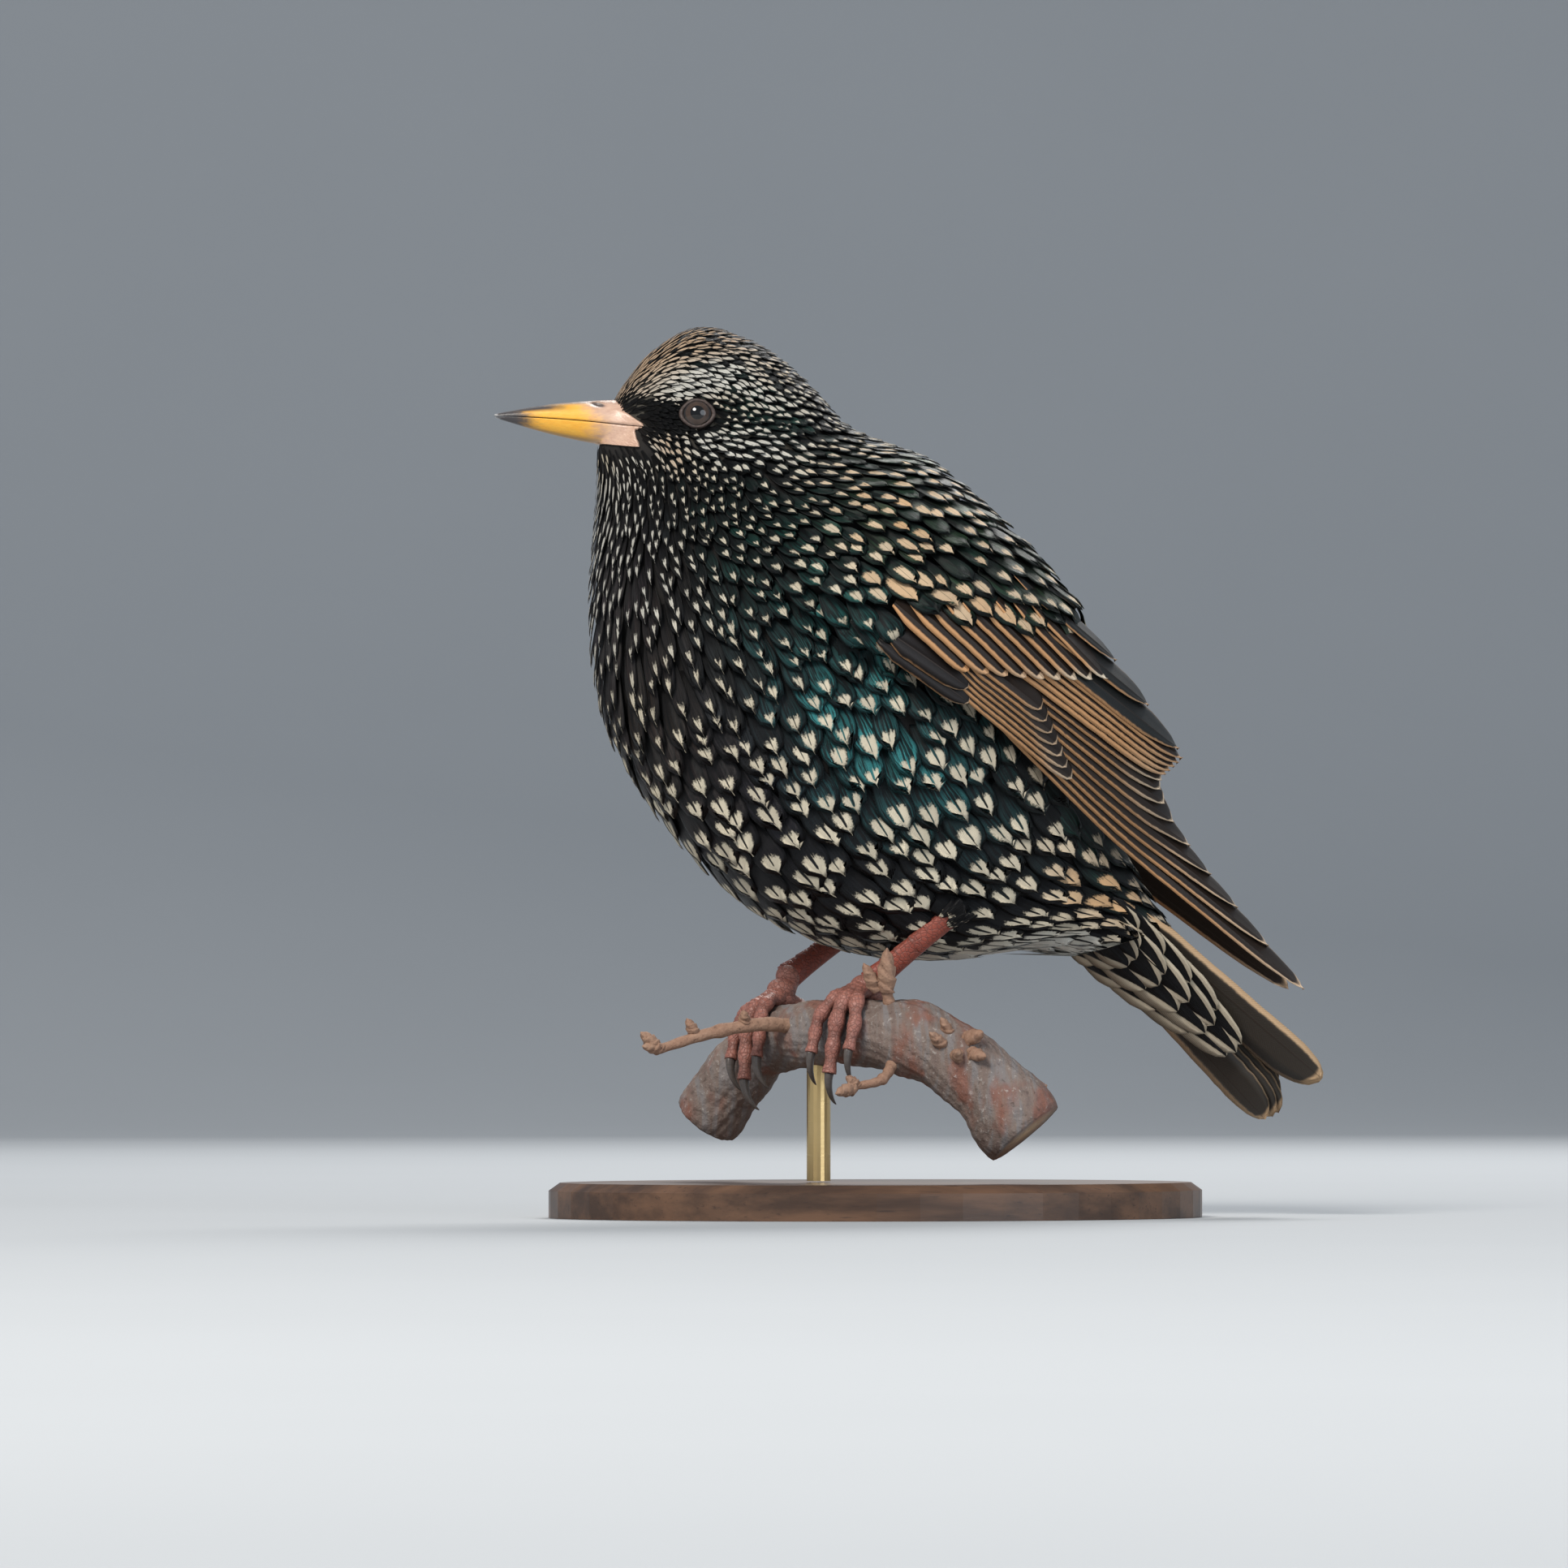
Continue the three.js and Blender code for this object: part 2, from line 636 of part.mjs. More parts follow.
function tailSolid() {
  const feathers = [];
  for (const side of [-1, 1])
    for (let pair = 0; pair < TAIL.pairs; pair++) {
      const f = pair / (TAIL.pairs - 1);
      const rootAside = side * lerp(...TAIL.rootAside, f);
      const tipAside = side * lerp(...TAIL.tipAside, f);
      const reach = TAIL.length - lerp(7, 0, Math.min(1, f * 1.6)) - 2 * f * f;
      const level = lerp(...TAIL.levels, f);
      const tilt = side * 0.45;
      feathers.push(
        vane(
          {
            root: [-1, rootAside],
            tip: [reach, tipAside],
            outer: TAIL.width * 0.5,
            inner: TAIL.width * 0.5,
            low: level - tilt,
            high: level + tilt,
            blunt: 0.83,
          },
          alongTail,
        ),
      );
    }
  const pad = loft(
    [0, 0.4, 0.75, 1].map((u) => {
      const along = lerp(-1, 17, u);
      const wide = lerp(7.6, 6.0, u);
      const deep = lerp(4.6, 1.2, u);
      return Array.from({ length: 12 }, (_, k) => {
        const turn = (2 * Math.PI * k) / 12;
        return onTail(along, wide * Math.cos(turn), deep * Math.sin(turn));
      });
    }),
  );
  const bodyRoom = bodyLength(TORSO_END, RUMP_END, 10, GAP);
  return joined([pad, ...feathers]).subtract(bodyRoom);
}

// The branch's middle line and how thick it is.
const perchLine = new THREE.CatmullRomCurve3(PERCH_ROUTE.map((p) => vector(...p)));

function perchFrame(t) {
  const centre = perchLine.getPointAt(t);
  const along = perchLine.getTangentAt(t);
  const front = new THREE.Vector3().crossVectors(along, vector(0, 0, 1)).normalize();
  if (front.x > 0) front.negate();
  const up = new THREE.Vector3().crossVectors(along, front).normalize();
  if (up.z < 0) up.negate();
  return { centre, along, front, up };
}

function perchRadius(t) {
  const { left, middle, right } = PERCH_RADIUS;
  const swell = 0.35 * Math.sin(t * 21) + 0.25 * Math.sin(t * 47 + 1);
  return (t < 0.45 ? lerp(left, middle, t / 0.45) : lerp(middle, right, (t - 0.45) / 0.55)) + swell;
}

function perchRing(t, grow = 0) {
  const { centre, front, up } = perchFrame(t);
  const radius = perchRadius(t) + grow;
  return Array.from({ length: PERCH_SIDES }, (_, k) => {
    const turn = (2 * Math.PI * k) / PERCH_SIDES;
    return centre
      .clone()
      .addScaledVector(front, radius * Math.cos(turn))
      .addScaledVector(up, radius * Math.sin(turn));
  });
}

function perchStem(grow = 0) {
  const steps = 18;
  return loft(Array.from({ length: steps + 1 }, (_, i) => perchRing(i / steps, grow)));
}

// A pointed bud: a taper from its foot along a direction, fattest a third of the way up.
function bud(foot, direction, length, thick, lean = 0.33) {
  const axis = direction.clone().normalize();
  const side = new THREE.Vector3().crossVectors(axis, vector(0.3, 1, 0.2)).normalize();
  const other = new THREE.Vector3().crossVectors(axis, side);
  return loft(
    [0, lean, 0.66, 0.88, 1].map((u, i) => {
      const radius = thick * [0.75, 1, 0.78, 0.42, 0.1][i];
      return Array.from({ length: 6 }, (_, k) => {
        const turn = (2 * Math.PI * k) / 6;
        return foot
          .clone()
          .addScaledVector(axis, length * u)
          .addScaledVector(side, radius * Math.cos(turn))
          .addScaledVector(other, radius * Math.sin(turn));
      });
    }),
  );
}

function twig(points, thick) {
  const line = new THREE.CatmullRomCurve3(points);
  const steps = 6;
  return loft(
    Array.from({ length: steps + 1 }, (_, i) => {
      const u = i / steps;
      const centre = line.getPointAt(u);
      const axis = line.getTangentAt(u);
      const side = new THREE.Vector3().crossVectors(axis, vector(0, 1, 0.1)).normalize();
      const other = new THREE.Vector3().crossVectors(axis, side);
      const radius = thick * lerp(1.25, 0.75, u);
      return Array.from({ length: 7 }, (_, k) => {
        const turn = (2 * Math.PI * k) / 7;
        return centre
          .clone()
          .addScaledVector(side, radius * Math.cos(turn))
          .addScaledVector(other, radius * Math.sin(turn));
      });
    }),
  );
}

function perchSolid() {
  const stem = perchStem();
  const onBark = (t, turn, out) => {
    const { centre, front, up } = perchFrame(t);
    return centre
      .clone()
      .addScaledVector(front, (perchRadius(t) + out) * Math.cos(turn))
      .addScaledVector(up, (perchRadius(t) + out) * Math.sin(turn));
  };
  const lump = (t, turn, lean, length, thick) => {
    const { along, front, up } = perchFrame(t);
    const outward = front.multiplyScalar(Math.cos(turn)).addScaledVector(up, Math.sin(turn));
    return bud(onBark(t, turn, -1.6), outward.addScaledVector(along, lean), length, thick);
  };
  const longTwig = twig(
    [onBark(0.4, 0.35, -2.5), vector(-24, -4.5, 38.6), vector(-34, -6, 37), vector(-46, -7, 33.4)],
    1.25,
  );
  const lowTwig = twig([onBark(0.66, -0.9, -2.5), vector(-4, -27, 27.6), vector(-10, -28.5, 26.2)], 1.0);
  return joined([
    stem,
    longTwig,
    bud(vector(-45.2, -7, 33.6), vector(-1, -0.1, 0.9), 5.2, 1.5),
    bud(vector(-37.5, -6.2, 36.2), vector(-0.6, -0.1, 1), 4.2, 1.25),
    bud(vector(-44.5, -7, 33.8), vector(-1, -0.3, 0.1), 4.6, 1.3),
    lowTwig,
    bud(vector(-9.4, -28.4, 26.3), vector(-1, -0.2, -0.35), 4.6, 1.4),
    bud(vector(-8.8, -28.2, 26.4), vector(-0.7, -0.2, 0.5), 3.4, 1.1),
    lump(0.79, 0.9, 0.3, 5.2, 1.7),
    lump(0.82, 0.55, 0.5, 4.6, 1.5),
    lump(0.77, 0.3, -0.4, 4.4, 1.4),
    lump(0.93, 2.4, 0.2, 5.0, 1.6),
    lump(0.06, 1.9, 0.1, 4.0, 1.5),
  ]);
}

// A foot: where each toe's middle line runs round the branch, then straight on along its tangent.
function toePoint(frame, toe, reach, distance, forward) {
  const wrap = THREE.MathUtils.degToRad(toe.wrap);
  const arc = Math.min(distance / reach, wrap);
  const rest = distance - arc * reach;
  const share = distance / toe.length;
  return frame.centre
    .clone()
    .addScaledVector(frame.along, toe.spread * Math.min(1, share * 1.6) ** 0.8)
    .addScaledVector(frame.front, forward * (reach * Math.sin(arc) + rest * Math.cos(arc)))
    .addScaledVector(frame.up, reach * Math.cos(arc) - rest * Math.sin(arc));
}

function tube(points, radii, sides) {
  return loft(
    points.map((centre, i) => {
      const before = points[Math.max(i - 1, 0)];
      const after = points[Math.min(i + 1, points.length - 1)];
      const axis = after.clone().sub(before).normalize();
      const side = new THREE.Vector3().crossVectors(axis, vector(0.5, 0.8, 0.1)).normalize();
      const other = new THREE.Vector3().crossVectors(axis, side).normalize();
      return Array.from({ length: sides }, (_, k) => {
        const turn = (2 * Math.PI * k) / sides;
        return centre
          .clone()
          .addScaledVector(side, radii[i] * Math.cos(turn))
          .addScaledVector(other, radii[i] * Math.sin(turn));
      });
    }),
  );
}

function footParts(which) {
  const { along, ankle } = FEET[which];
  const frame = perchFrame(along);
  const handed = which === "left" ? 1 : -1;
  const joint = vector(...ankle);
  const pieces = [];
  const claws = {};
  for (const toe of TOES) {
    const hind = toe.name === "hind";
    const forward = hind ? -1 : 1;
    const placed = { ...toe, spread: toe.spread * handed };
    const reach = perchRadius(along) + toe.thick * 0.82 + GAP;
    const steps = hind ? 6 : 9;
    const points = [joint.clone().addScaledVector(frame.up, -1.0)];
    const radii = [toe.thick * 1.05];
    for (let i = 0; i <= steps; i++) {
      const u = i / steps;
      points.push(toePoint(frame, placed, reach, lerp(1.2, toe.length, u), forward));
      radii.push(toe.thick * lerp(1.08, 0.78, u) * (1 + 0.13 * Math.cos(u * Math.PI * 2 * (hind ? 2 : 3))));
    }
    pieces.push(tube(points, radii, 6));
    const end = points.at(-1);
    const heading = end.clone().sub(points.at(-2)).normalize();
    const inward = frame.front.clone().multiplyScalar(-forward);
    const bendTo = inward.clone().addScaledVector(heading, -inward.dot(heading)).normalize();
    const clawPoints = [];
    const clawRadii = [];
    const clawSteps = 5;
    for (let i = 0; i <= clawSteps; i++) {
      const u = i / clawSteps;
      const angle = CLAW.bend * u;
      const radius = CLAW.length / CLAW.bend;
      clawPoints.push(
        end
          .clone()
          .addScaledVector(heading, GAP + radius * Math.sin(angle))
          .addScaledVector(bendTo, radius * (1 - Math.cos(angle))),
      );
      clawRadii.push(CLAW.thick * (1 - u) ** 0.75 + 0.12);
    }
    claws[toe.name] = tube(clawPoints, clawRadii, 6);
  }
  const ball = new THREE.SphereGeometry(TARSUS.deep * 1.25, 8, 6);
  ball.translate(joint.x, joint.y, joint.z);
  pieces.push(solidOf(ball));
  const pad = new THREE.SphereGeometry(1, 8, 6);
  pad.scale(3.0, 2.7, 2.4);
  const padAt = frame.centre
    .clone()
    .addScaledVector(frame.up, perchRadius(along) + 1.9)
    .lerp(joint, 0.35);
  pad.translate(padAt.x, padAt.y, padAt.z);
  pieces.push(solidOf(pad));
  return { foot: joined(pieces), claws };
}

// The shank, with the overlapping shields down its front as small steps.
function shankSolid(which) {
  const { ankle, heel } = FEET[which];
  const [low, high] = [vector(...ankle), vector(...heel)];
  const axis = high.clone().sub(low).normalize();
  const side = new THREE.Vector3().crossVectors(axis, vector(1, 0, 0)).normalize();
  const front = new THREE.Vector3().crossVectors(axis, side).normalize();
  const rings = [];
  for (let i = 0; i < TARSUS.scutes; i++)
    for (const [edge, step] of [[0.02, 1], [0.92, 0]]) {
      const u = (i + edge) / TARSUS.scutes;
      const swell = 1 + 0.28 * (1 - u) ** 6 + 0.22 * u ** 5;
      const centre = low.clone().lerp(high, u);
      rings.push(
        Array.from({ length: 10 }, (_, k) => {
          const turn = (2 * Math.PI * k) / 10;
          return centre
            .clone()
            .addScaledVector(side, (TARSUS.wide * swell + TARSUS.step * step) * Math.cos(turn))
            .addScaledVector(front, (TARSUS.deep * swell + TARSUS.step * step) * Math.sin(turn));
        }),
      );
    }
  return loft(rings);
}

function addLeg(which) {
  const { ankle, heel } = FEET[which];
  const [low, high] = [vector(...ankle), vector(...heel)];
  const axis = high.clone().sub(low).normalize();
  const perchRoom = perchStem(GAP);
  const bodyRoom = bodyLength(8, 17, 27, GAP);
  const shank = largest(shankSolid(which).subtract(bodyRoom).subtract(perchRoom));
  const wide = TARSUS.deep * 1.6 + GAP;
  const bottom = low.clone().addScaledVector(axis, -GAP);
  const top = low.clone().addScaledVector(axis, TARSUS.socket);
  const socket = tube([bottom, top], [wide, wide], 12);
  const { foot, claws } = footParts(which);
  const clearFoot = largest(foot.subtract(socket).subtract(perchRoom));
  addNode(`leg_${which}`, shank, MATERIALS.leg);
  addNode(`foot_${which}`, clearFoot, MATERIALS.leg);
  for (const [toe, claw] of Object.entries(claws))
    addNode(`claw_${which}_${toe}`, claw.subtract(perchRoom), MATERIALS.claw);
}

// A flat oval base with a bevelled edge.
function baseSolid() {
  const { halfLong, halfWide, thick, bevel, centreX } = BASE;
  const profile = [
    [0, 0],
    [1, 0],
    [1, thick - bevel],
    [1 - bevel / halfWide, thick],
    [0, thick],
  ].map(([r, z]) => new THREE.Vector2(r, z));
  const oval = new THREE.LatheGeometry(profile, 48);
  oval.rotateX(Math.PI / 2);
  oval.scale(halfLong, halfWide, 1);
  oval.translate(centreX, 0, 0);
  return solidOf(oval);
}

function rodSolid() {
  const at = perchFrame(0.42).centre;
  const rod = new THREE.CylinderGeometry(ROD_RADIUS, ROD_RADIUS, at.z - BASE.thick - GAP, 20);
  rod.rotateX(Math.PI / 2);
  rod.translate(at.x, at.y, (at.z + BASE.thick + GAP) / 2);
  return solidOf(rod).subtract(perchStem(GAP));
}

const lengths = [
  ["head", headSolid()],
  ["neck", bodyLength(HEAD_END, NECK_END, 4)],
  ["torso", bodyLength(NECK_END, TORSO_END, 14)],
  ["rump", rumpSolid()],
];
for (const [name, solid] of lengths) addNode(name, solid, MATERIALS.plumage);

const headRoom = bodyLength(0, HEAD_END, 11, GAP).add(bodyLength(0, HEAD_END, 11).translate([-GAP, 0, 0]));
const billUpper = billHalf(true).subtract(headRoom);
const billLower = billHalf(false).subtract(headRoom);
addNode("bill_upper", billUpper, MATERIALS.bill);
addNode("bill_lower", billLower, MATERIALS.bill);
addNode("eye_left", eyeBall(-1, EYE.radius), MATERIALS.eye);
addNode("eye_right", eyeBall(1, EYE.radius), MATERIALS.eye);
addNode("wing_left", wingSolid(-1), MATERIALS.wing);
addNode("wing_right", wingSolid(1), MATERIALS.wing);
addNode("tail", tailSolid(), MATERIALS.tail);
addLeg("left");
addLeg("right");
addNode("perch", perchSolid(), MATERIALS.bark);
addNode("stand_rod", rodSolid(), MATERIALS.rod);
addNode("stand_base", baseSolid(), MATERIALS.wood);

export default group;
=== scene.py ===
"""A starling in winter plumage on its perch and display stand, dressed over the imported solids.

The bird faces -X, its left side is -Y and +Z is up. Shapes are worked out in millimetres and made in metres.
"""
from functools import partialmethod

import bpy
import numpy as np
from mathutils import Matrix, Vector


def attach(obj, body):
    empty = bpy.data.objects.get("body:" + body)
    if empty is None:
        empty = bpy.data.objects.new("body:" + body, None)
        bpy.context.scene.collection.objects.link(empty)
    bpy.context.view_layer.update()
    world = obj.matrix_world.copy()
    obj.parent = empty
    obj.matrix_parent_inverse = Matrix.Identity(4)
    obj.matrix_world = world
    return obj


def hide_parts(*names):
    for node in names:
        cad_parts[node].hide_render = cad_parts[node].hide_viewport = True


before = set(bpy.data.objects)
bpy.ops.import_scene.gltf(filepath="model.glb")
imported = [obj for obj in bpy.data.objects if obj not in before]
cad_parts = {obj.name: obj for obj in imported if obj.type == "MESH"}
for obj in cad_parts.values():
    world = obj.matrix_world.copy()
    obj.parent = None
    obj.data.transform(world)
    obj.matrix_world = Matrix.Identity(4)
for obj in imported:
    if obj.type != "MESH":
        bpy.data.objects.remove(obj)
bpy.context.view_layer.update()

MM = 0.001

# Each slice of the body: back x, back z, belly x, belly z, half its width, how high up it is widest.
BODY = np.array([
    (-53.3, 163.4, -56.2, 154.8, 4.0, 0.45),
    (-50.3, 167.9, -57.0, 153.0, 6.0, 0.46),
    (-44.8, 173.9, -57.0, 151.0, 8.6, 0.49),
    (-35.4, 178.4, -56.9, 147.8, 11.2, 0.53),
    (-22.6, 174.4, -57.2, 142.8, 13.6, 0.55),
    (-11.7, 165.4, -57.8, 135.3, 17.4, 0.52),
    (-3.3, 154.8, -58.4, 126.5, 21.8, 0.50),
    (6.8, 147.0, -58.4, 117.1, 26.2, 0.52),
    (17.5, 137.6, -57.3, 106.6, 29.4, 0.54),
    (26.6, 127.8, -54.6, 96.6, 31.2, 0.55),
    (34.2, 117.4, -49.6, 86.8, 31.6, 0.54),
    (39.6, 107.6, -42.8, 77.4, 31.0, 0.52),
    (43.4, 98.0, -34.6, 68.8, 29.0, 0.50),
    (46.4, 89.0, -24.6, 60.6, 26.0, 0.49),
    (48.8, 81.0, -12.4, 54.8, 22.8, 0.48),
    (51.5, 73.8, 2.0, 51.4, 18.8, 0.47),
    (54.5, 68.0, 16.3, 51.4, 15.4, 0.47),
    (57.5, 63.0, 29.6, 53.4, 12.6, 0.48),
    (60.5, 58.5, 40.5, 52.4, 9.8, 0.50),
])
BODY_END = len(BODY) - 1
# The eye: its middle, its radius, how deep it is sunk, the bare ring round it, the lid's reach, and how far out.
EYE = dict(x=-38.3, z=159.7, radius=3.7, sunk=2.3, bare=2.95, lid=2.85, aside=6)
WRIST = np.array([-12.8, 123.6])
WING_SLOPE = np.radians(38.5)
# Rows down the wing: a, then the ellipse that its sheet bends round: middle, top, and how far out.
SHEET = np.array([
    (-8, -9.5, 31, 29.8),
    (0, -9.5, 31.6, 31.2),
    (10, -11, 31.8, 33),
    (20, -12, 31.4, 33.9),
    (30, -13, 30.4, 33.1),
    (40, -13, 28.8, 30.6),
    (50, -12, 27.8, 27),
    (60, -11, 26.6, 23.2),
    (67, -10, 25.2, 20),
    (76, -9, 21.5, 16.5),
    (84, -8, 13, 14),
    (95, -7, 9, 12.5),
    (128, -5, 4, 7.5),
])
TAIL_ROOT = np.array([48.6, 60.8])
TAIL_SLOPE = np.radians(43.5)
TAIL_ROLL = np.radians(40)
TAIL_LENGTH = 54
# The photograph's pixel at the model's x = 0, z = 0, and its pixels to the millimetre.
PHOTO_X, PHOTO_Z, PHOTO_SCALE = 1080, 1500, 6.15
# The face narrows beside the bill: by this share, between these x, and between these slices.
PINCH, PINCH_X, PINCH_SLICES = 0.4, (-42, -52), (5, 2.5)
# How far the coverts stand off the wing's sheet, and the most that the coat may rise to meet them.
COVERT_LIFT, MOST_RISE = 5.7, 22.0


def piece(name, points, quads, tris, material, slot, stands_for=(), uvs=None, values=None):
    """Makes one object of the model from points in millimetres and faces of four and three corners."""
    points = np.asarray(points, float).reshape(-1, 3)
    quads = np.asarray(quads, int).reshape(-1, 4)
    tris = np.asarray(tris, int).reshape(-1, 3)
    if signed_volume(points, quads, tris) < 0:
        quads, tris = quads[:, ::-1], tris[:, ::-1]
    mesh = bpy.data.meshes.new(name)
    mesh.vertices.add(len(points))
    mesh.vertices.foreach_set("co", (points * MM).ravel())
    corners = np.concatenate([quads.ravel(), tris.ravel()])
    starts = np.concatenate([np.arange(len(quads)) * 4, len(quads) * 4 + np.arange(len(tris)) * 3])
    mesh.loops.add(len(corners))
    mesh.loops.foreach_set("vertex_index", corners.astype(np.int32))
    mesh.polygons.add(len(starts))
    mesh.polygons.foreach_set("loop_start", starts.astype(np.int32))
    mesh.update(calc_edges=True)
    mesh.polygons.foreach_set("use_smooth", np.ones(len(starts), bool))
    for label, uv in (uvs or {}).items():
        layer = mesh.uv_layers.new(name=label)
        layer.data.foreach_set("uv", np.asarray(uv, float).reshape(-1, 2)[corners].ravel())
    for label, value in (values or {}).items():
        value = np.asarray(value, float).reshape(len(points), -1)
        kind, field = ("FLOAT", "value") if value.shape[1] == 1 else ("FLOAT_VECTOR", "vector")
        mesh.attributes.new(label, kind, "POINT").data.foreach_set(field, value.ravel())
    made = bpy.data.objects.new(name, mesh)
    bpy.context.scene.collection.objects.link(made)
    mesh.materials.append(material)
    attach(made, "root")
    if stands_for:
        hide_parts(*stands_for)


def signed_volume(points, quads, tris):
    """The volume inside the faces, below zero where they point inwards: sums a . (b x c) / 6 over triangles."""
    faces = np.concatenate([quads[:, [0, 1, 2]], quads[:, [0, 2, 3]], tris])
    a, b, c = points[faces[:, 0]], points[faces[:, 1]], points[faces[:, 2]]
    return float(np.einsum("ij,ij->i", a, np.cross(b, c)).sum() / 6)


def wrap_faces(rings, around, closed=True):
    """Quads of a grid of rings: row r to row r + 1, point k to k + 1, round to the first where closed."""
    r, k = np.meshgrid(np.arange(rings - 1), np.arange(around if closed else around - 1), indexing="ij")
    n = (k + 1) % around
    return np.stack([r * around + k, r * around + n, (r + 1) * around + n, (r + 1) * around + k], -1).reshape(-1, 4)


def capped(grid):
    """A closed skin over grid[ring, point]: its quads, and fans to a middle point added at each end."""
    rings, around = grid.shape[:2]
    points = np.concatenate([grid.reshape(-1, 3), [grid[0].mean(0)], [grid[-1].mean(0)]])
    k = np.arange(around)
    n = (k + 1) % around
    first, last = rings * around, rings * around + 1
    base = (rings - 1) * around
    tris = np.concatenate([
        np.stack([n, k, np.full(around, first)], -1),
        np.stack([base + k, base + n, np.full(around, last)], -1),
    ])
    return points, wrap_faces(rings, around), tris


def merged(parts):
    """Several (points, quads, tris) as one."""
    points, quads, tris, count = [], [], [], 0
    for p, q, t in parts:
        points.append(np.asarray(p, float))
        quads.append(np.asarray(q, int).reshape(-1, 4) + count)
        tris.append(np.asarray(t, int).reshape(-1, 3) + count)
        count += len(p)
    return np.concatenate(points), np.concatenate(quads), np.concatenate(tris)


def smooth_rows(table, t):
    """A smooth line through the table's rows: at t, the Catmull-Rom cubic of the four rows round it."""
    last = len(table) - 1
    t = np.clip(t, 0, last)
    i = np.minimum(np.floor(t).astype(int), last - 1)
    f = (t - i)[..., None]
    p0, p1 = table[np.maximum(i - 1, 0)], table[i]
    p2, p3 = table[i + 1], table[np.minimum(i + 2, last)]
    return (
        p1 * (1 + 2 * f) * (1 - f) ** 2
        + (p2 - p0) / 2 * f * (1 - f) ** 2
        + p2 * f * f * (3 - 2 * f)
        + (p3 - p1) / 2 * f * f * (f - 1)
    )


def unit(vectors):
    """Each vector over its own length."""
    return vectors / np.linalg.norm(vectors, axis=-1, keepdims=True)


def circle(count):
    """Angles evenly round one turn."""
    return np.linspace(0, 2 * np.pi, count, endpoint=False)


def spin(centre, side, top, angle, wide, high=None):
    """Points round a centre: centre + wide cos(angle) side + high sin(angle) top; high is wide unless given."""
    high = wide if high is None else high
    return centre + (wide * np.cos(angle))[..., None] * side + (high * np.sin(angle))[..., None] * top


def tube(line, radii, around, up):
    """A grid of rings along a line of points: ring = point + radius (cos w side + sin w top)."""
    along = unit(np.gradient(line, axis=0))
    side = unit(np.cross(along, up))
    top = np.cross(side, along)
    return spin(line[:, None], side[:, None], top[:, None], circle(around), radii[:, None])


def shell(name, grid, material, slot, stands_for=(), **values):
    """One object from a grid of rings closed at both ends, with its values by name."""
    piece(name, *capped(grid), material, slot, stands_for, values=values)


def ended(value, grid, first=0, last=0):
    """A value at each of a grid's points, and then at the two middle points that close it."""
    return np.append(np.broadcast_to(value, grid.shape[:2]).ravel(), [first, last])


def ease(low, high, x):
    """0 below low, 1 above high, and the cubic 3t^2 - 2t^3 between."""
    t = np.clip((x - low) / (high - low), 0, 1)
    return t * t * (3 - 2 * t)


def body_point(s, turn, grow=0.0):
    """The body at slice s, turned by an angle from the back: belly + up (share height + grow cos) out half sin,
    where share is widest + (1 - widest) cos above the widest line and widest + widest cos below it."""
    row = smooth_rows(BODY, s)
    back, belly, half, widest = row[..., 0:2], row[..., 2:4], row[..., 4], row[..., 5]
    up = back - belly
    height = np.linalg.norm(up, axis=-1)
    up = up / height[..., None]
    c = np.cos(turn)
    share = widest + np.where(c > 0, 1 - widest, widest) * c
    flat = belly + up * (share * height + grow * c)[..., None]
    p = np.stack([flat[..., 0], -(half + grow) * np.sin(turn), flat[..., 1]], -1)
    p[..., 1] *= 1 - PINCH * ease(*PINCH_X, p[..., 0]) * ease(*PINCH_SLICES, s)
    return p


def body_steps(s, turn):
    """How many millimetres one slice, and one radian round, are at a place on the body."""
    e = 0.02
    down = (body_point(s + e, turn) - body_point(s - e, turn)) / (2 * e)
    round_ = (body_point(s, turn + e) - body_point(s, turn - e)) / (2 * e)
    return np.linalg.norm(down, axis=-1), np.linalg.norm(round_, axis=-1)


def coat_depth(s):
    """How deep the coat is: thin on the face, fuller on the body."""
    return 0.7 + 1.9 * ease(1.5, 8, s)


def find_on_body(x, z):
    """The point of the body's left side nearest to x, z seen from the side."""
    s, turn = np.meshgrid(np.linspace(0.5, 6, 200), np.linspace(0.2, 2.9, 200))
    p = body_point(s, turn).reshape(-1, 3)
    return p[np.argmin((p[:, 0] - x) ** 2 + (p[:, 2] - z) ** 2)]


def seen(points):
    """Where points show in the photograph, in its pixels: across by x turned ten degrees, and up by z."""
    out = np.abs(points[..., 1])
    across, up = 0.985 * points[..., 0] + 0.174 * out, points[..., 2] + 0.035 * out + 0.3
    return PHOTO_X + PHOTO_SCALE * across, PHOTO_Z - PHOTO_SCALE * up


EYE_SURFACE = find_on_body(EYE["x"], EYE["z"])


def sheet_row(a):
    """The ellipse that the wing's sheet bends round at a down it: its middle, half its height, half its width."""
    row = smooth_rows(SHEET, np.interp(a, SHEET[:, 0], np.arange(len(SHEET))))
    return row[..., 1], row[..., 2] - row[..., 1], row[..., 3]


def sheet_point(a, b, aside, lift, side):
    """The wing's sheet: at a down it, the ellipse middle + top sin w, side cos w, entered at height b,
    moved aside along the arc and lifted off along its normal."""
    middle, high, wide = sheet_row(a)
    w = np.arcsin(np.clip((b - middle) / high, -0.98, 0.98)) + 2 * aside / (high + wide)
    w = np.clip(w, -0.6, 1.5)
    nx, ny = np.sin(w) / high, np.cos(w) / wide
    size = np.hypot(nx, ny)
    across = middle + high * np.sin(w) + nx / size * lift
    out = wide * np.cos(w) + ny / size * lift
    c, d = np.cos(WING_SLOPE), np.sin(WING_SLOPE)
    return np.stack([WRIST[0] + a * c + across * d, side * out, WRIST[1] - a * d + across * c], -1)


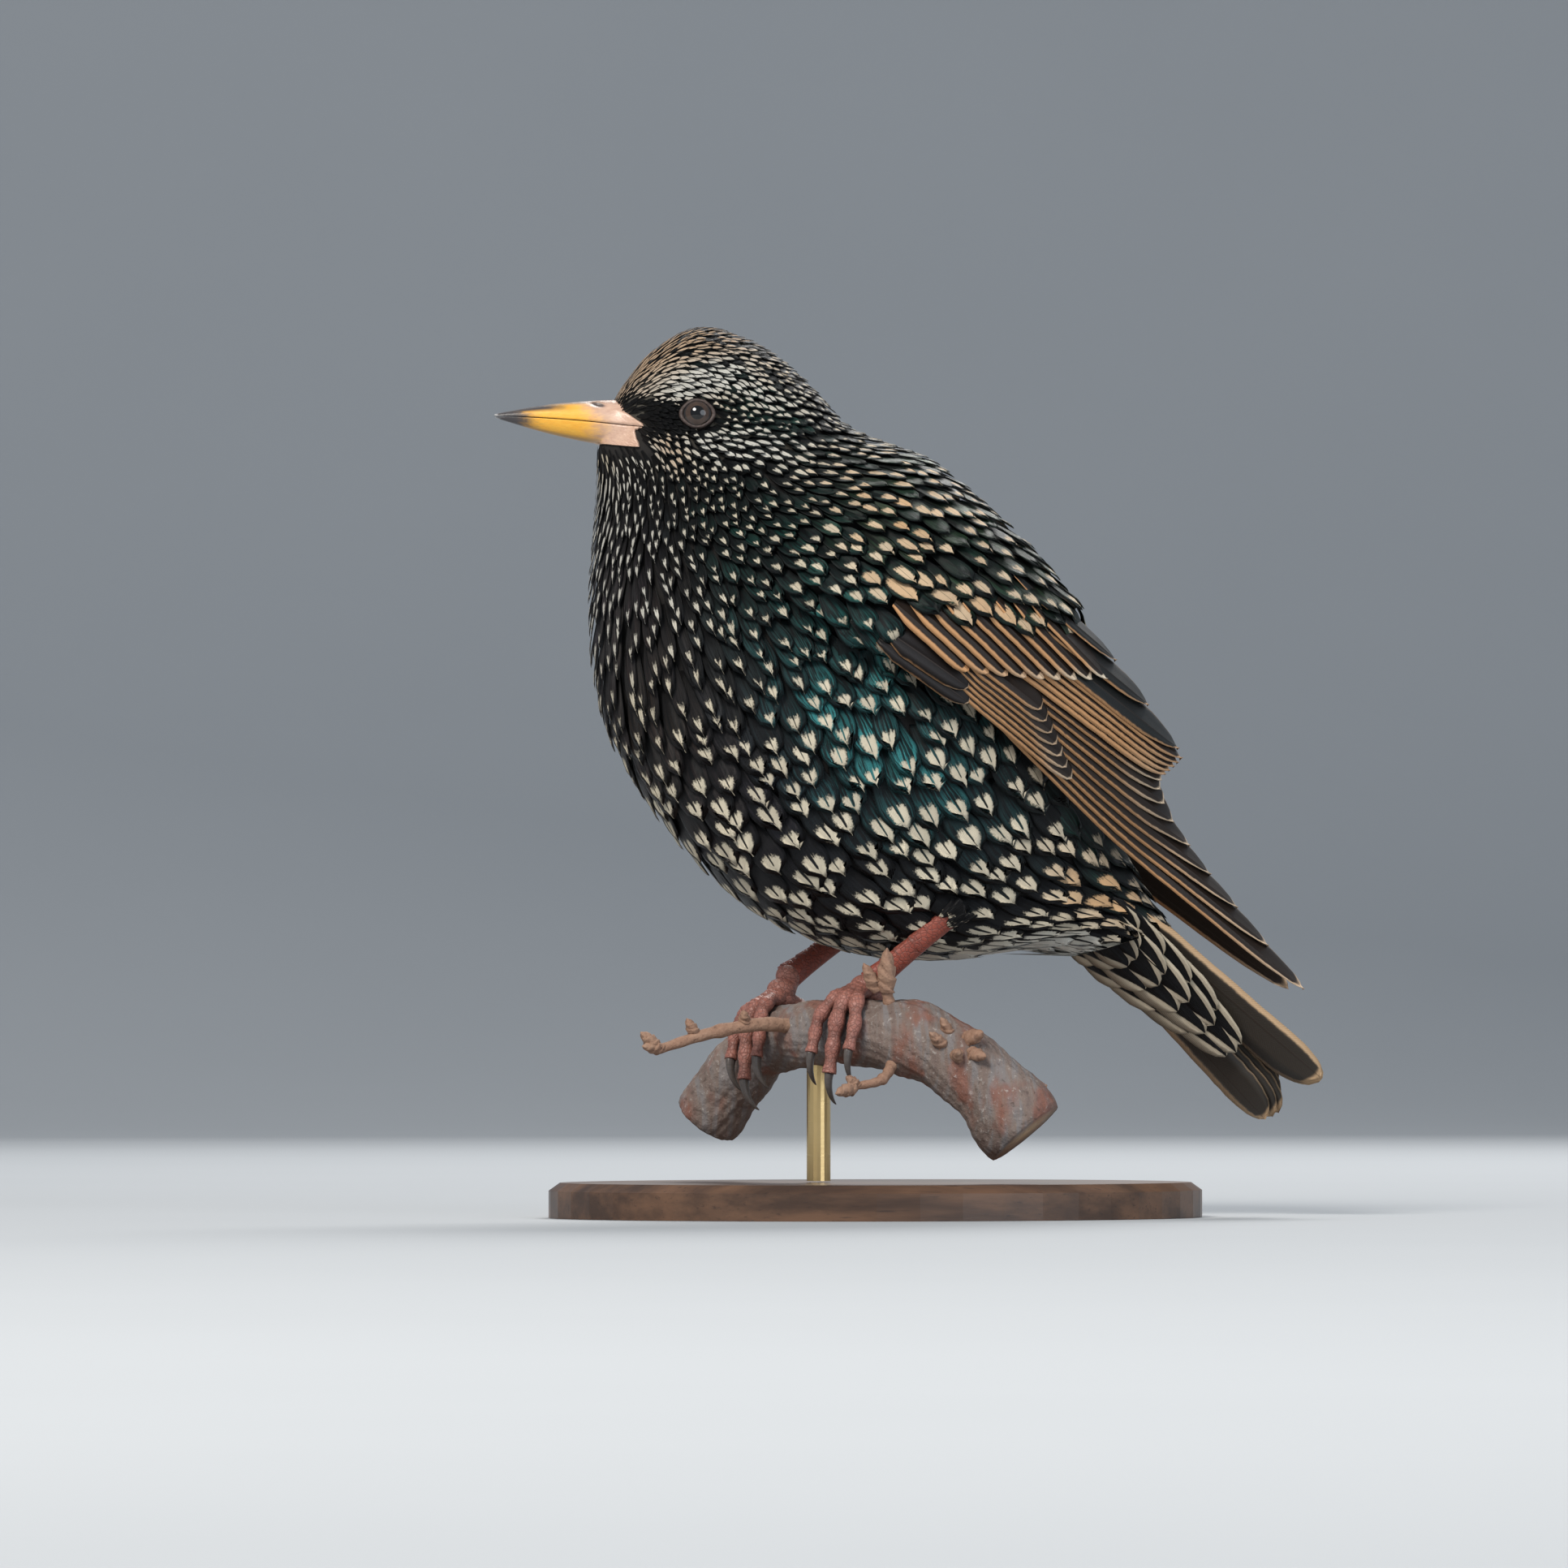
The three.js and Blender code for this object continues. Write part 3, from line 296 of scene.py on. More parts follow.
def wing_place(points):
    """A point's place in the wing's own directions, seen from the side: a down it, b up across it."""
    x, z = points[..., 0] - WRIST[0], points[..., 2] - WRIST[1]
    c, d = np.cos(WING_SLOPE), np.sin(WING_SLOPE)
    return x * c - z * d, x * d + z * c


def outside_wing(points, lift):
    """Over 0 where a point is outside the wing's sheet lifted by so much: (b / high)^2 + (y / wide)^2 - 1."""
    a, b = wing_place(points)
    middle, high, wide = sheet_row(a)
    return ((b - middle) / (high + lift)) ** 2 + (points[..., 1] / (wide + lift)) ** 2 - 1


def rise_table():
    """How far the coat rises over the wrist of the folded wing: halving steps find where the line out of the
    body meets the lifted sheet, and that height fades out in front of the wing and below it."""
    s, turn = np.meshgrid(RISE_S, RISE_TURN, indexing="ij")
    low, high = np.zeros(s.shape), np.full(s.shape, MOST_RISE)
    for _ in range(12):
        middle = (low + high) / 2
        out = outside_wing(body_point(s, turn, middle), COVERT_LIFT) > 0
        high, low = np.where(out, middle, high), np.where(out, low, middle)
    a, b = wing_place(body_point(s, turn))
    lower = -10 + 9 * ease(8, 26, a)
    return high * ease(-22, -1, a) * ease(lower, lower + 10, b) * ease(52, 36, a) * (high > 0.02)


def rise(s, turn):
    """The table of rises, read between its rows."""
    i = np.clip((s - RISE_S[0]) / (RISE_S[1] - RISE_S[0]), 0, len(RISE_S) - 1.001)
    j = np.clip((np.abs(turn) - RISE_TURN[0]) / (RISE_TURN[1] - RISE_TURN[0]), 0, len(RISE_TURN) - 1.001)
    i0, j0 = i.astype(int), j.astype(int)
    f, g = i - i0, j - j0
    return (
        RISES[i0, j0] * (1 - f) * (1 - g)
        + RISES[i0 + 1, j0] * f * (1 - g)
        + RISES[i0, j0 + 1] * (1 - f) * g
        + RISES[i0 + 1, j0 + 1] * f * g
    )


RISE_S, RISE_TURN = np.linspace(2, 18, 130), np.linspace(0, np.pi, 120)
RISES = rise_table()


def tail_point(along, across, lift):
    """The tail's plane: root + along axis + across (sideways, rolled) + lift normal."""
    axis = np.array([np.cos(TAIL_SLOPE), 0, -np.sin(TAIL_SLOPE)])
    up = np.array([np.sin(TAIL_SLOPE), 0, np.cos(TAIL_SLOPE)])
    wide = np.array([0, -np.cos(TAIL_ROLL), 0]) + up * np.sin(TAIL_ROLL)
    normal = up * np.cos(TAIL_ROLL) + np.array([0, np.sin(TAIL_ROLL), 0])
    root = np.array([TAIL_ROOT[0], 0, TAIL_ROOT[1]])
    along, across, lift = np.broadcast_arrays(along, across, lift)
    return root + along[..., None] * axis + across[..., None] * wide + lift[..., None] * normal


class Value:
    """A socket in a material's nodes, so that shader maths is written as plain sums."""

    def __init__(self, owner, socket):
        self.owner, self.socket = owner, socket

    def maths(self, operation, *others):
        """The sum, difference, product and so on of this and others."""
        return self.owner.node("ShaderNodeMath", dict(operation=operation), [self, *others])

    __add__ = __radd__ = partialmethod(maths, "ADD")
    __sub__ = partialmethod(maths, "SUBTRACT")
    __mul__ = __rmul__ = partialmethod(maths, "MULTIPLY")
    __abs__ = partialmethod(maths, "ABSOLUTE")
    most = partialmethod(maths, "MAXIMUM")
    sine = partialmethod(maths, "SINE")

    def __rsub__(self, other):
        return self.owner.node("ShaderNodeMath", dict(operation="SUBTRACT"), [other, self])

    def step(self, low, high):
        """0 at low, 1 at high, smooth between; low may be over high."""
        settings = dict(interpolation_type="SMOOTHSTEP", clamp=True)
        return self.owner.node("ShaderNodeMapRange", settings, [self, low, high, 0.0, 1.0])


class Finish:
    """A node material. Each method adds nodes and gives back what comes out of them."""

    def __init__(self, name, **constants):
        self.material = bpy.data.materials.new(name)
        self.material.use_nodes = True
        self.nodes = self.material.node_tree.nodes
        self.links = self.material.node_tree.links
        self.shader = self.nodes["Principled BSDF"]
        for socket, value in constants.items():
            self.shader.inputs[socket.replace("_", " ")].default_value = value

    def node(self, kind, settings, inputs=(), out=0):
        """Any node: its settings first, then the values or links of its sockets, by place or by name."""
        made = self.nodes.new(kind)
        for setting, value in settings.items():
            setattr(made, setting, value)
        pairs = inputs.items() if isinstance(inputs, dict) else enumerate(inputs)
        for key, value in pairs:
            self.feed(made.inputs[key], value)
        return Value(self, made.outputs[out])

    def feed(self, socket, value):
        """Gives a socket a link, a colour or a number."""
        if isinstance(value, Value):
            self.links.new(value.socket, socket)
        elif isinstance(value, tuple) and len(value) == 3 and socket.type == "RGBA":
            socket.default_value = (*value, 1.0)
        else:
            socket.default_value = value

    def mix(self, share, first, second, way="MIX"):
        """A colour between two, or one laid over the other in another way."""
        made = self.nodes.new("ShaderNodeMix")
        made.data_type, made.blend_type, made.clamp_factor = "RGBA", way, True
        self.feed(made.inputs[0], share)
        self.feed(made.inputs[6], first)
        self.feed(made.inputs[7], second)
        return Value(self, made.outputs[2])

    def reading(self, attribute, vector=False):
        """A value, or three, that each point of the mesh carries."""
        return self.node("ShaderNodeAttribute", dict(attribute_name=attribute), out=1 if vector else 2)

    def axes(self, vector):
        """The three parts of a vector."""
        made = self.nodes.new("ShaderNodeSeparateXYZ")
        self.links.new(vector.socket, made.inputs[0])
        return [Value(self, o) for o in made.outputs]

    def place(self):
        """Where a point is in its own piece, in metres."""
        return self.node("ShaderNodeTexCoord", {}, out=3)

    def vane_map(self):
        """The vane's own map: how far across from the shaft, -1 to 1, and how far from root to tip, 0 to 1."""
        u, v, _ = self.axes(self.node("ShaderNodeUVMap", dict(uv_map="Vane")))
        return u * 2.0 - 1.0, v

    def noise(self, vector, scale, detail=3.0, rough=0.55):
        """Noise from about 0 to 1, so many grains to each unit of the vector."""
        return self.node("ShaderNodeTexNoise", {}, dict(Vector=vector, Scale=scale, Detail=detail, Roughness=rough))

    def streaks(self, x, y, z, detail, rough=0.55):
        """Noise that may be finer along one way than another: so many grains to the metre along each."""
        stretched = self.node("ShaderNodeMapping", {}, dict(Vector=self.place(), Scale=(x, y, z)))
        return self.noise(stretched, 1.0, detail, rough)

    def relief(self, height, strength, distance):
        """The fine bumps of a height."""
        return self.node("ShaderNodeBump", {}, dict(Strength=strength, Distance=distance, Height=height))

    def out(self, **sockets):
        """Feeds the shader's own sockets, and gives back the finished material."""
        for socket, value in sockets.items():
            self.feed(self.shader.inputs[socket.replace("_", " ")], value)
        return self.material


def barbs(u, v, count, slant):
    """Fine lines that run out from the shaft towards the tip: sin(count (v - slant |u|))."""
    return ((v - abs(u) * slant) * count).sine() * 0.5 + 0.5


def plumage_finish():
    """Glossy dark feathers whose tips carry a light mark: a streak on the shaft, or two lobes split by it."""
    f = Finish("feather_plumage", IOR=1.5, Specular_IOR_Level=0.32)
    u, v = f.vane_map()
    dark, light = f.reading("dark", True), f.reading("light", True)
    start, wide, split = f.axes(f.reading("mark", True))
    grain = f.streaks(2600.0, 2600.0, 2600.0, 2.0)
    ragged = (grain - 0.5) * 0.5
    far = abs(u)
    along = f.node("ShaderNodeCombineXYZ", {}, [u * 6.5, v * 1.5, start * 37.0 + wide * 61.0])
    strands = f.noise(along, 1.0, 4.0, 0.65)
    begins = (v + ragged * 0.3 + (strands - 0.5) * 0.22 - far * far * 0.12 - start).step(-0.035, 0.05)
    inside = (wide + ragged * 0.6 - far).step(-0.08, 0.08)
    shaft = (far - split * (1.25 - v) + ragged * 0.08).step(-0.02, 0.05)
    mark = begins * inside * shaft
    lines = barbs(u, v, 130.0, 0.75)
    bright = f.mix(lines * 0.4 + grain * 0.15, light, (0.10, 0.085, 0.07))
    # Dark gaps between the strands and barbs, and the vane's side edges darkened: painted shade that matches the
    # shadow between overlapping feathers.
    strand_gaps_and_edge_shade = strands.step(0.6, 0.44).most(lines * 0.6).most(far.step(0.62, 0.95) * 0.8)
    shade = f.mix(strand_gaps_and_edge_shade * 0.95, dark, (0.0015, 0.0015, 0.002))
    base = f.mix(v.step(0.72, 0.2) * 0.75, shade, (0.006, 0.006, 0.007))
    colour = f.mix(mark, base, bright)
    height = lines * 0.5 + grain * 0.2 + strands * 1.6
    return f.out(
        Base_Color=colour,
        Metallic=(1.0 - mark) * 0.3,
        Roughness=mark * 0.25 + 0.45,
        Normal=f.relief(height, 0.6, 0.0002),
    )


def quill_finish(name, dark, edge, tip_wide, gloss):
    """A long vane: dark, with a pale rim down its outer web and a thin one round its tip, and a shaft."""
    f = Finish(name, IOR=1.5, Specular_IOR_Level=0.3)
    u, v = f.vane_map()
    tint = f.reading("tint", True)
    rim, tipping, whiter = f.axes(f.reading("rim", True))
    waver = f.streaks(900.0, 900.0, 900.0, 2.0) - 0.5
    outer = (u * -1.0 - 1.0 + rim + waver * 0.12).step(-0.04, 0.1)
    inner = (u - 0.9 + waver * 0.05).step(-0.03, 0.06) * 0.5
    ends = (v + abs(u) * abs(u) * 0.02 - 1.0 + tipping * tip_wide + waver * 0.01).step(-0.006, 0.012)
    pale = outer.most(ends).most(inner * tipping)
    lines = barbs(u, v, 520.0, 0.11)
    web = f.mix(lines * 0.4, dark, (0.006, 0.006, 0.008))
    web = f.mix(0.5, web, tint)
    rim_tone = f.mix(whiter * v.step(0.72, 0.97), edge, (0.78, 0.68, 0.52))
    colour = f.mix(pale, web, f.mix(lines * 0.3, rim_tone, (0.25, 0.14, 0.07)))
    shaft = (abs(u - SHAFT) - 0.045).step(0.02, -0.01)
    colour = f.mix(shaft * 0.5, colour, (0.03, 0.02, 0.015))
    height = lines * 0.4 + shaft * 0.8
    return f.out(
        Base_Color=colour,
        Metallic=(1.0 - pale) * 0.15,
        Roughness=pale * 0.2 + gloss,
        Normal=f.relief(height, 0.3, 0.00015),
    )


def skin_finish():
    """The skin under the coat, as dark as the feathers' roots, with the coat's pale patches faintly on it."""
    f = Finish("skin_under_coat", Specular_IOR_Level=0.2)
    grain = f.noise(f.place(), 420.0)
    base = f.mix(grain, (0.008, 0.008, 0.009), (0.022, 0.02, 0.018))
    colour = f.mix(f.reading("pale") * 0.5, base, (0.2, 0.18, 0.14))
    return f.out(Base_Color=colour, Roughness=0.8, Normal=f.relief(grain, 0.5, 0.0004))


def scatter(count, low, high, seed):
    """Places spread evenly over the body between two slices. Seeded tries are taken in turn, and one stays
    where no earlier one is nearer than the spacing there."""
    rng = np.random.default_rng(seed)
    s = rng.uniform(low, high, count)
    turn = rng.uniform(-np.pi, np.pi, count)
    spot = body_point(s, turn)
    down, round_ = body_steps(s, turn)
    even = rng.uniform(0, 1, count) < down * round_ / np.percentile(down * round_, 97)
    even &= feathered(spot)
    s, turn, spot = s[even], turn[even], spot[even]
    gap = spacing_at(s, turn, spot)
    cell = gap.max()
    grid, taken = {}, []
    keys = np.floor(spot / cell).astype(int)
    for i, (key, here, room) in enumerate(zip(map(tuple, keys), spot, gap)):
        near = [
            j
            for dx in (-1, 0, 1)
            for dy in (-1, 0, 1)
            for dz in (-1, 0, 1)
            for j in grid.get((key[0] + dx, key[1] + dy, key[2] + dz), ())
        ]
        if near and (((spot[near] - here) ** 2).sum(1) < room * room).any():
            continue
        grid.setdefault(key, []).append(i)
        taken.append(i)
    return s[taken], turn[taken], spot[taken]


def vane_outline(v, blunt):
    """Half the width along a feather: rises as v^0.7 to the widest place, then falls as a blunt or sharp arc."""
    rise_ = 0.35 + 0.65 * np.clip(v / VANE_WIDEST, 0, 1) ** 0.7
    fall = np.clip((v - VANE_WIDEST) / (1 - VANE_WIDEST), 0, 1)
    return rise_ * np.clip(1 - fall ** (1 + 1.6 * blunt), 0.0, 1) ** (0.85 - 0.35 * blunt)


# Where a small feather's points lie across it, where along it it is widest, how hollow it is, and its map's size.
FINE_ACROSS = np.array([-1.0, -0.5, 0.0, 0.5, 1.0])
BROAD_ACROSS = np.array([-1.0, -0.8, -0.58, -0.36, 0.0, 0.36, 0.58, 0.8, 1.0])
VANE_WIDEST, VANE_CUP, VANE_MAP = 0.6, 0.05, 0.003


def body_feathers(s, turn, length, half, tip_lift, seed, rings, blunt, lean, across):
    """Small feathers over the body. Each follows its own line down the body from its root on the skin to its tip
    at the coat's surface: at v along it and u across, s(v), turn + u half(v), depth (1 - v)^1.3. The web's end
    is fringed: from one line of points across it to the next the barbs run further or less far."""
    rng = np.random.default_rng(seed)
    n, count = len(s), len(across)
    v = np.linspace(0, 1, rings)
    path_s, path_turn = np.zeros((2, n, rings))
    path_s[:, 0], path_turn[:, 0] = s, turn
    step = length / (rings - 1)
    for i in range(1, rings):
        down, round_ = body_steps(path_s[:, i - 1], path_turn[:, i - 1])
        path_s[:, i] = path_s[:, i - 1] + step / np.maximum(down, 0.8)
        path_turn[:, i] = path_turn[:, i - 1] + step * lean / np.maximum(round_, 2.0)
    down, round_ = body_steps(path_s, path_turn)
    wide = half[:, None] * vane_outline(v, blunt)[None] + 0.04
    u = across[None, None]
    zigzag = rng.uniform(-0.8, 0.8, (n, 1, count)) + 0.9 * (-1.0) ** np.arange(count)
    frayed = zigzag * ease(0.5, 1, v)[None, :, None]
    turn_at = path_turn[..., None] + (u + 0.05 * frayed) * (wide / np.maximum(round_, 1.5))[..., None]
    depth = coat_depth(s)[:, None, None] * (1 - v[None, :, None]) ** 1.3
    jitter = rng.uniform(-0.12, 0.14, n)[:, None, None]
    tilt = 0.06 * half[:, None, None] * u
    hollow = VANE_CUP * half[:, None, None] * u**2
    grow = -0.35 - depth + jitter + tilt * 0.5 + (tip_lift[:, None, None] - hollow) * v[None, :, None] ** 2
    grow = grow + rise(path_s, path_turn)[..., None]
    s_at = path_s[..., None] + frayed * 0.055 * (length[:, None] / np.maximum(down, 0.8))[..., None]
    top = body_point(s_at, turn_at, grow)
    under = body_point(path_s, path_turn, grow[..., count // 2] - 0.1 - 0.02 * half[:, None])
    return np.concatenate([top, under[:, :, None]], 2), v


def feather_piece(name, grid, v, across, material, slot, values, roots, stands_for=()):
    """Joins closed vanes into one piece. grid[feather, ring, point] goes over each ring and back under it. Each
    vane has its own map, and a small one of its own in the map of the whole piece, at its root's place."""
    n, rings, around = grid.shape[:3]
    base = wrap_faces(rings, around)
    k = np.arange(1, around - 1)
    cap = np.stack([np.zeros_like(k), k, k + 1], -1)
    tris = np.concatenate([cap[:, ::-1], cap + (rings - 1) * around])
    starts = (np.arange(n) * rings * around)[:, None, None]
    vane = np.stack(np.broadcast_arrays((across[None, None] + 1) / 2, v[None, :, None]), -1)
    vane = np.broadcast_to(vane, (n, rings, around, 2))
    uvs = dict(Vane=vane, OFBake=roots[:, None, None] + (vane - 0.5) * VANE_MAP)
    spread = {key: np.repeat(np.asarray(x, float), rings * around, axis=0) for key, x in values.items()}
    piece(name, grid, base[None] + starts, tris[None] + starts, material, slot, stands_for, uvs, spread)


def unwrap(a, b):
    """Two ways over the skin, each stretched from 0.01 to 0.99."""
    def stretch(x):
        return 0.01 + 0.98 * (x - x.min()) / max(np.ptp(x), 1e-6)

    return np.stack([stretch(a), stretch(b)], -1)


# Colours of the coat, as linear light.
BLACK = np.array([0.006, 0.006, 0.008])
# GREEN, PURPLE, BRONZE and OLIVE are the plumage's own gloss colours, laid on partly as painted sheen.
GREEN = np.array([0.012, 0.085, 0.060])
# The teal colour is painted sheen: the bright blue-green that the gloss shows where light catches it.
TEAL_SHEEN = np.array([0.030, 0.230, 0.235])
PURPLE = np.array([0.030, 0.013, 0.034])
BRONZE = np.array([0.036, 0.024, 0.014])
CREAM = np.array([0.74, 0.66, 0.50])
WHITE = np.array([0.80, 0.78, 0.70])
BUFF = np.array([0.66, 0.41, 0.21])
SAND = np.array([0.72, 0.56, 0.38])
TAN = np.array([0.64, 0.43, 0.26])
OLIVE = np.array([0.040, 0.085, 0.035])
STRAW = np.array([0.72, 0.62, 0.46])
BROWN = (0.020, 0.0125, 0.0085)
OILY = (0.008, 0.016, 0.018)
ASH = (0.055, 0.045, 0.036)

# Soft oval patches on the coat, in the photograph's pixels: x, y, half its length, half its width, its tilt.
PATCHES = dict(
    # The teal patch is painted sheen, and the glint patch is a painted glint.
    teal_sheen=(1055, 850, 150, 95, -40),
    # The green and bronze patches lay the plumage's gloss colour on, partly as painted sheen.
    breast_green=(1000, 700, 150, 90, -35),
    neck_green=(950, 500, 110, 50, -20),
    mantle_green=(1140, 660, 150, 60, -35),
    painted_glint=(1080, 880, 90, 40, -45),
    bronze=(790, 850, 90, 200, 0),
    forehead=(800, 470, 60, 60, 45),
    brow=(850, 468, 80, 24, 26),
    brow_end=(935, 480, 60, 20, -20),
    cheek=(930, 540, 80, 27, -6),
    cheek_front=(860, 545, 40, 18, -20),
    whisker=(815, 552, 26, 14, -40),
    chin=(742, 590, 26, 60, 0),
    lores=(808, 512, 46, 17, 0),
    dark_lores=(808, 512, 50, 20, 0),
    behind=(965, 515, 50, 9, -5),
    ear=(905, 535, 100, 42, 0),
    nape=(985, 560, 50, 60, -45),
    cluster=(1065, 640, 90, 60, -40),
    side=(1000, 700, 90, 50, -40),
    rear=(1325, 1060, 65, 55, -45),
    fluff=(1250, 1165, 95, 34, 0),
    loose_fluff=(1240, 1165, 130, 40, 0),
)
# What each place on the bird adds to the light share of a feather's tip, and to how wide the mark is.
PLAIN_MARK = (0.25, 0.36)
MARKS = dict(
    lower=(0.09, 0.2),
    throat=(0.02, 0.05),
    crown=(0.27, 0.16),
    forehead=(0.34, 0.3),
    brow=(0.46, 0.18),
    cheek=(0.40, 0.08),
    band=(0.16, 0.2),
    whisker=(0.30, 0),
    chin=(0.32, 0),
    mantle=(0.03, 0.02),
    shoulder=(0.04, 0),
    cluster=(0.16, 0.12),
    side=(0.05, 0),
    rear=(0.16, 0.3),
    vent=(0.36, 0.4),
    fluff=(0.3, 0.4),
    lores=(-1.44, 0),
    behind=(-0.35, 0),
    nape=(-0.06, 0),
)


def blend(pairs, start):
    """Lays each colour over the ones before it by its share."""
    colour = start
    for share, over in pairs:
        colour = colour + (over - colour) * np.clip(share, 0, 1)[:, None]
    return colour


def patch(points, name):
    """How much of a named patch is at each point: exp(-(along / half length)^2 - (across / half width)^2)."""
    x, z, rx, rz, tilt = PATCHES[name]
    px, pz = seen(points)
    c, d = np.cos(np.radians(tilt)), np.sin(np.radians(tilt))
    along, across = (px - x) * c - (pz - z) * d, (px - x) * d + (pz - z) * c
    return np.exp(-((along / rx) ** 2) - (across / rz) ** 2)


def coat_marks(s, turn, spot, rng):
    """The dark and the light colour of each feather and its tip mark, from where it grows. The dark colour carries the
    plumage's gloss tints, partly as painted sheen, with painted sheen in the teal patch and a painted glint. The light
    share of the tip, and the mark's width, are a plain size and what each place adds to it."""
    n = len(s)
    a, b = wing_place(spot)
    belly, aside = 1 - np.cos(turn), np.abs(np.sin(turn))
    front = ease(1.15, 1.75, belly)
    flank = ease(0.35, 0.9, aside)
    back = ease(0.3, 0.75, np.cos(turn))
    at = {name: patch(spot, name) for name in PATCHES}
    green = np.maximum.reduce([at["breast_green"], at["neck_green"], at["mantle_green"]]) * flank
    some = rng.uniform(0.15, 1, n)
    # The dark colour: black with the plumage's gloss tints, partly its own colour and partly painted sheen.
    dark = blend(
        [
            (front * ease(4, 6, s) * ease(13, 9, s) * 0.7 * some, PURPLE),
            (at["bronze"] * 0.75, BRONZE),
            (green * 0.85 * some, GREEN),
            # Painted sheen in the teal patch, and a painted glint in the glint patch.
            (at["teal_sheen"] * flank * 0.95 * some, TEAL_SHEEN),
            (at["painted_glint"] * flank * rng.uniform(0, 1, n), TEAL_SHEEN * 2.2 + 0.02),
            (back * ease(5, 7, s) * 0.7 * some, GREEN * 0.7),
            (ease(-22, -8, a) * ease(4, 10, b) * rng.uniform(0, 0.9, n), OLIVE),
        ],
        BLACK,
    )
    dark *= rng.uniform(0.5, 1.4, n)[:, None]
    dark *= (1 - 0.8 * np.clip(at["dark_lores"] * 1.5, 0, 1))[:, None]

    at["brow"] = at["brow"] + 0.8 * at["brow_end"]
    at["cheek"] = at["cheek"] + 0.6 * at["cheek_front"]
    at["rear"] = at["rear"] * ease(0.2, 0.6, aside)
    at["fluff"] = at["fluff"] * ease(1.0, 1.5, belly)
    at["crown"] = ease(0.25, 0.8, np.cos(turn)) * ease(4.8, 3.4, s)
    at["mantle"] = back * ease(5.0, 6.5, s) * ease(13, 11, s)
    at["shoulder"] = ease(-24, -8, a) * ease(-2, 5, b) * flank
    at["vent"] = ease(1.5, 1.95, belly) * ease(14.0, 15.5, s)
    at["throat"] = front * ease(2.0, 3.2, s) * ease(8, 6, s)
    at["band"] = ease(-12, -5, a - 1.85 * (b - 4)) * ease(3, 7, b) * ease(-28, -6, a) * flank
    at["lower"] = ease(8.0, 11, s) * (1 - back) * (1 - at["shoulder"])
    light = blend(
        [
            (at["crown"] + at["forehead"] * 1.2, TAN * (1 + 0.25 * at["forehead"][:, None])),
            (at["brow"] * 1.2, WHITE),
            (at["cheek"] * 1.2, WHITE),
            (at["whisker"] * 1.3, TAN * 1.15),
            (at["mantle"] * 0.9, SAND),
            (at["shoulder"] * ease(6, 16, b) * 0.8, SAND * 1.08),
            (at["cluster"] * rng.uniform(0.2, 1.0, n), BUFF * 1.25),
            (at["rear"] * 1.3, BUFF * 1.05),
            (at["band"] * rng.uniform(0.3, 1.0, n), BUFF * 1.2),
            (np.maximum(at["vent"], at["fluff"]), WHITE * 0.95),
            (at["throat"], WHITE * 0.95),
        ],
        CREAM,
    )
    light *= rng.uniform(0.86, 1.12, n)[:, None]

    share, wide = (
        plain + sum(at[place] * adds[i] for place, adds in MARKS.items()) for i, plain in enumerate(PLAIN_MARK)
    )
    share = np.clip(share * rng.uniform(0.75, 1.2, n), 0.02, 0.8)
    unmarked = 0.3 * at["crown"] * (1 - at["forehead"]) + 0.2 * at["mantle"] + 0.12 * at["nape"]
    share = np.where(rng.uniform(0, 1, n) < unmarked, 0.02, share)
    wide = np.where(share < 0.06, 0.0, np.clip(wide, 0.2, 0.95)) * rng.uniform(0.85, 1.12, n)
    split = 0.16 * at["lower"] * (1 - at["vent"]) * rng.uniform(0.4, 1.4, n)
    return dark, light, np.stack([1 - share, wide, split], -1)


def covered_by_wing(spot):
    """True where the folded wing's larger feathers hide the body."""
    a, b = wing_place(spot)
    edge = np.where(b < 1.2, 10, np.maximum(-3, 1.85 * (b - 4) - 1))
    low = np.where(a > 14, 3.0, -1.5)
    return (a > edge) & (b > low) & (b < 25) & (a < 72) & (np.abs(spot[:, 1]) > 7)


# Where the horn passes under the feathers: heights, and the x at each.
HORN_Z = [153.0, 155.0, 156.9, 157.8, 158.9, 160.2, 161.2, 163.0, 164.2]
HORN_X = [-49.2, -50.0, -50.3, -48.3, -49.8, -51.3, -53.6, -53.9, -54.0]


def horn_edge(z):
    """Where the horn passes under the feathers, at each height: furthest back at the corner of the mouth."""
    return np.interp(z, HORN_Z, HORN_X)


def on_bill(spot):
    """True on the part of the face that the bill's root covers."""
    return (spot[:, 0] < horn_edge(spot[:, 2]) - 0.15) & (spot[:, 2] > 153.2)


def feathered(spot):
    """Where the coat grows: not over the eyes or the bill's root, and not under the wings' larger feathers."""
    off = np.hypot(spot[:, 0] - EYE["x"], spot[:, 2] - EYE["z"])
    return ((off > EYE["bare"]) | (np.abs(spot[:, 1]) < EYE["aside"])) & ~covered_by_wing(spot) & ~on_bill(spot)


# Millimetres between neighbouring feathers at these slices: about 0.6 at the bill, up to 5 on the belly.
SPACING_SLICES = [0, 1, 2, 4, 5.5, 7, 9, 12, 15, 18]
SPACING = [0.6, 0.68, 0.84, 1.15, 1.75, 2.6, 3.9, 5.0, 4.7, 4.1]
# How many places are tried, the slices they lie between, and the most feathers in one piece of the coat.
TRIES, COAT_FROM, COAT_TO, COAT_PIECE = 300000, 0.05, 17.9, 1150


def spacing_at(s, turn, spot):
    """Millimetres between neighbours: by slice, a tenth more on the belly, and a quarter less on the lores."""
    belly = 1 - np.cos(turn)
    base = np.interp(s, SPACING_SLICES, SPACING)
    return base * (1 + 0.1 * ease(1.3, 1.9, belly)) * (1 - 0.25 * patch(spot, "dark_lores"))


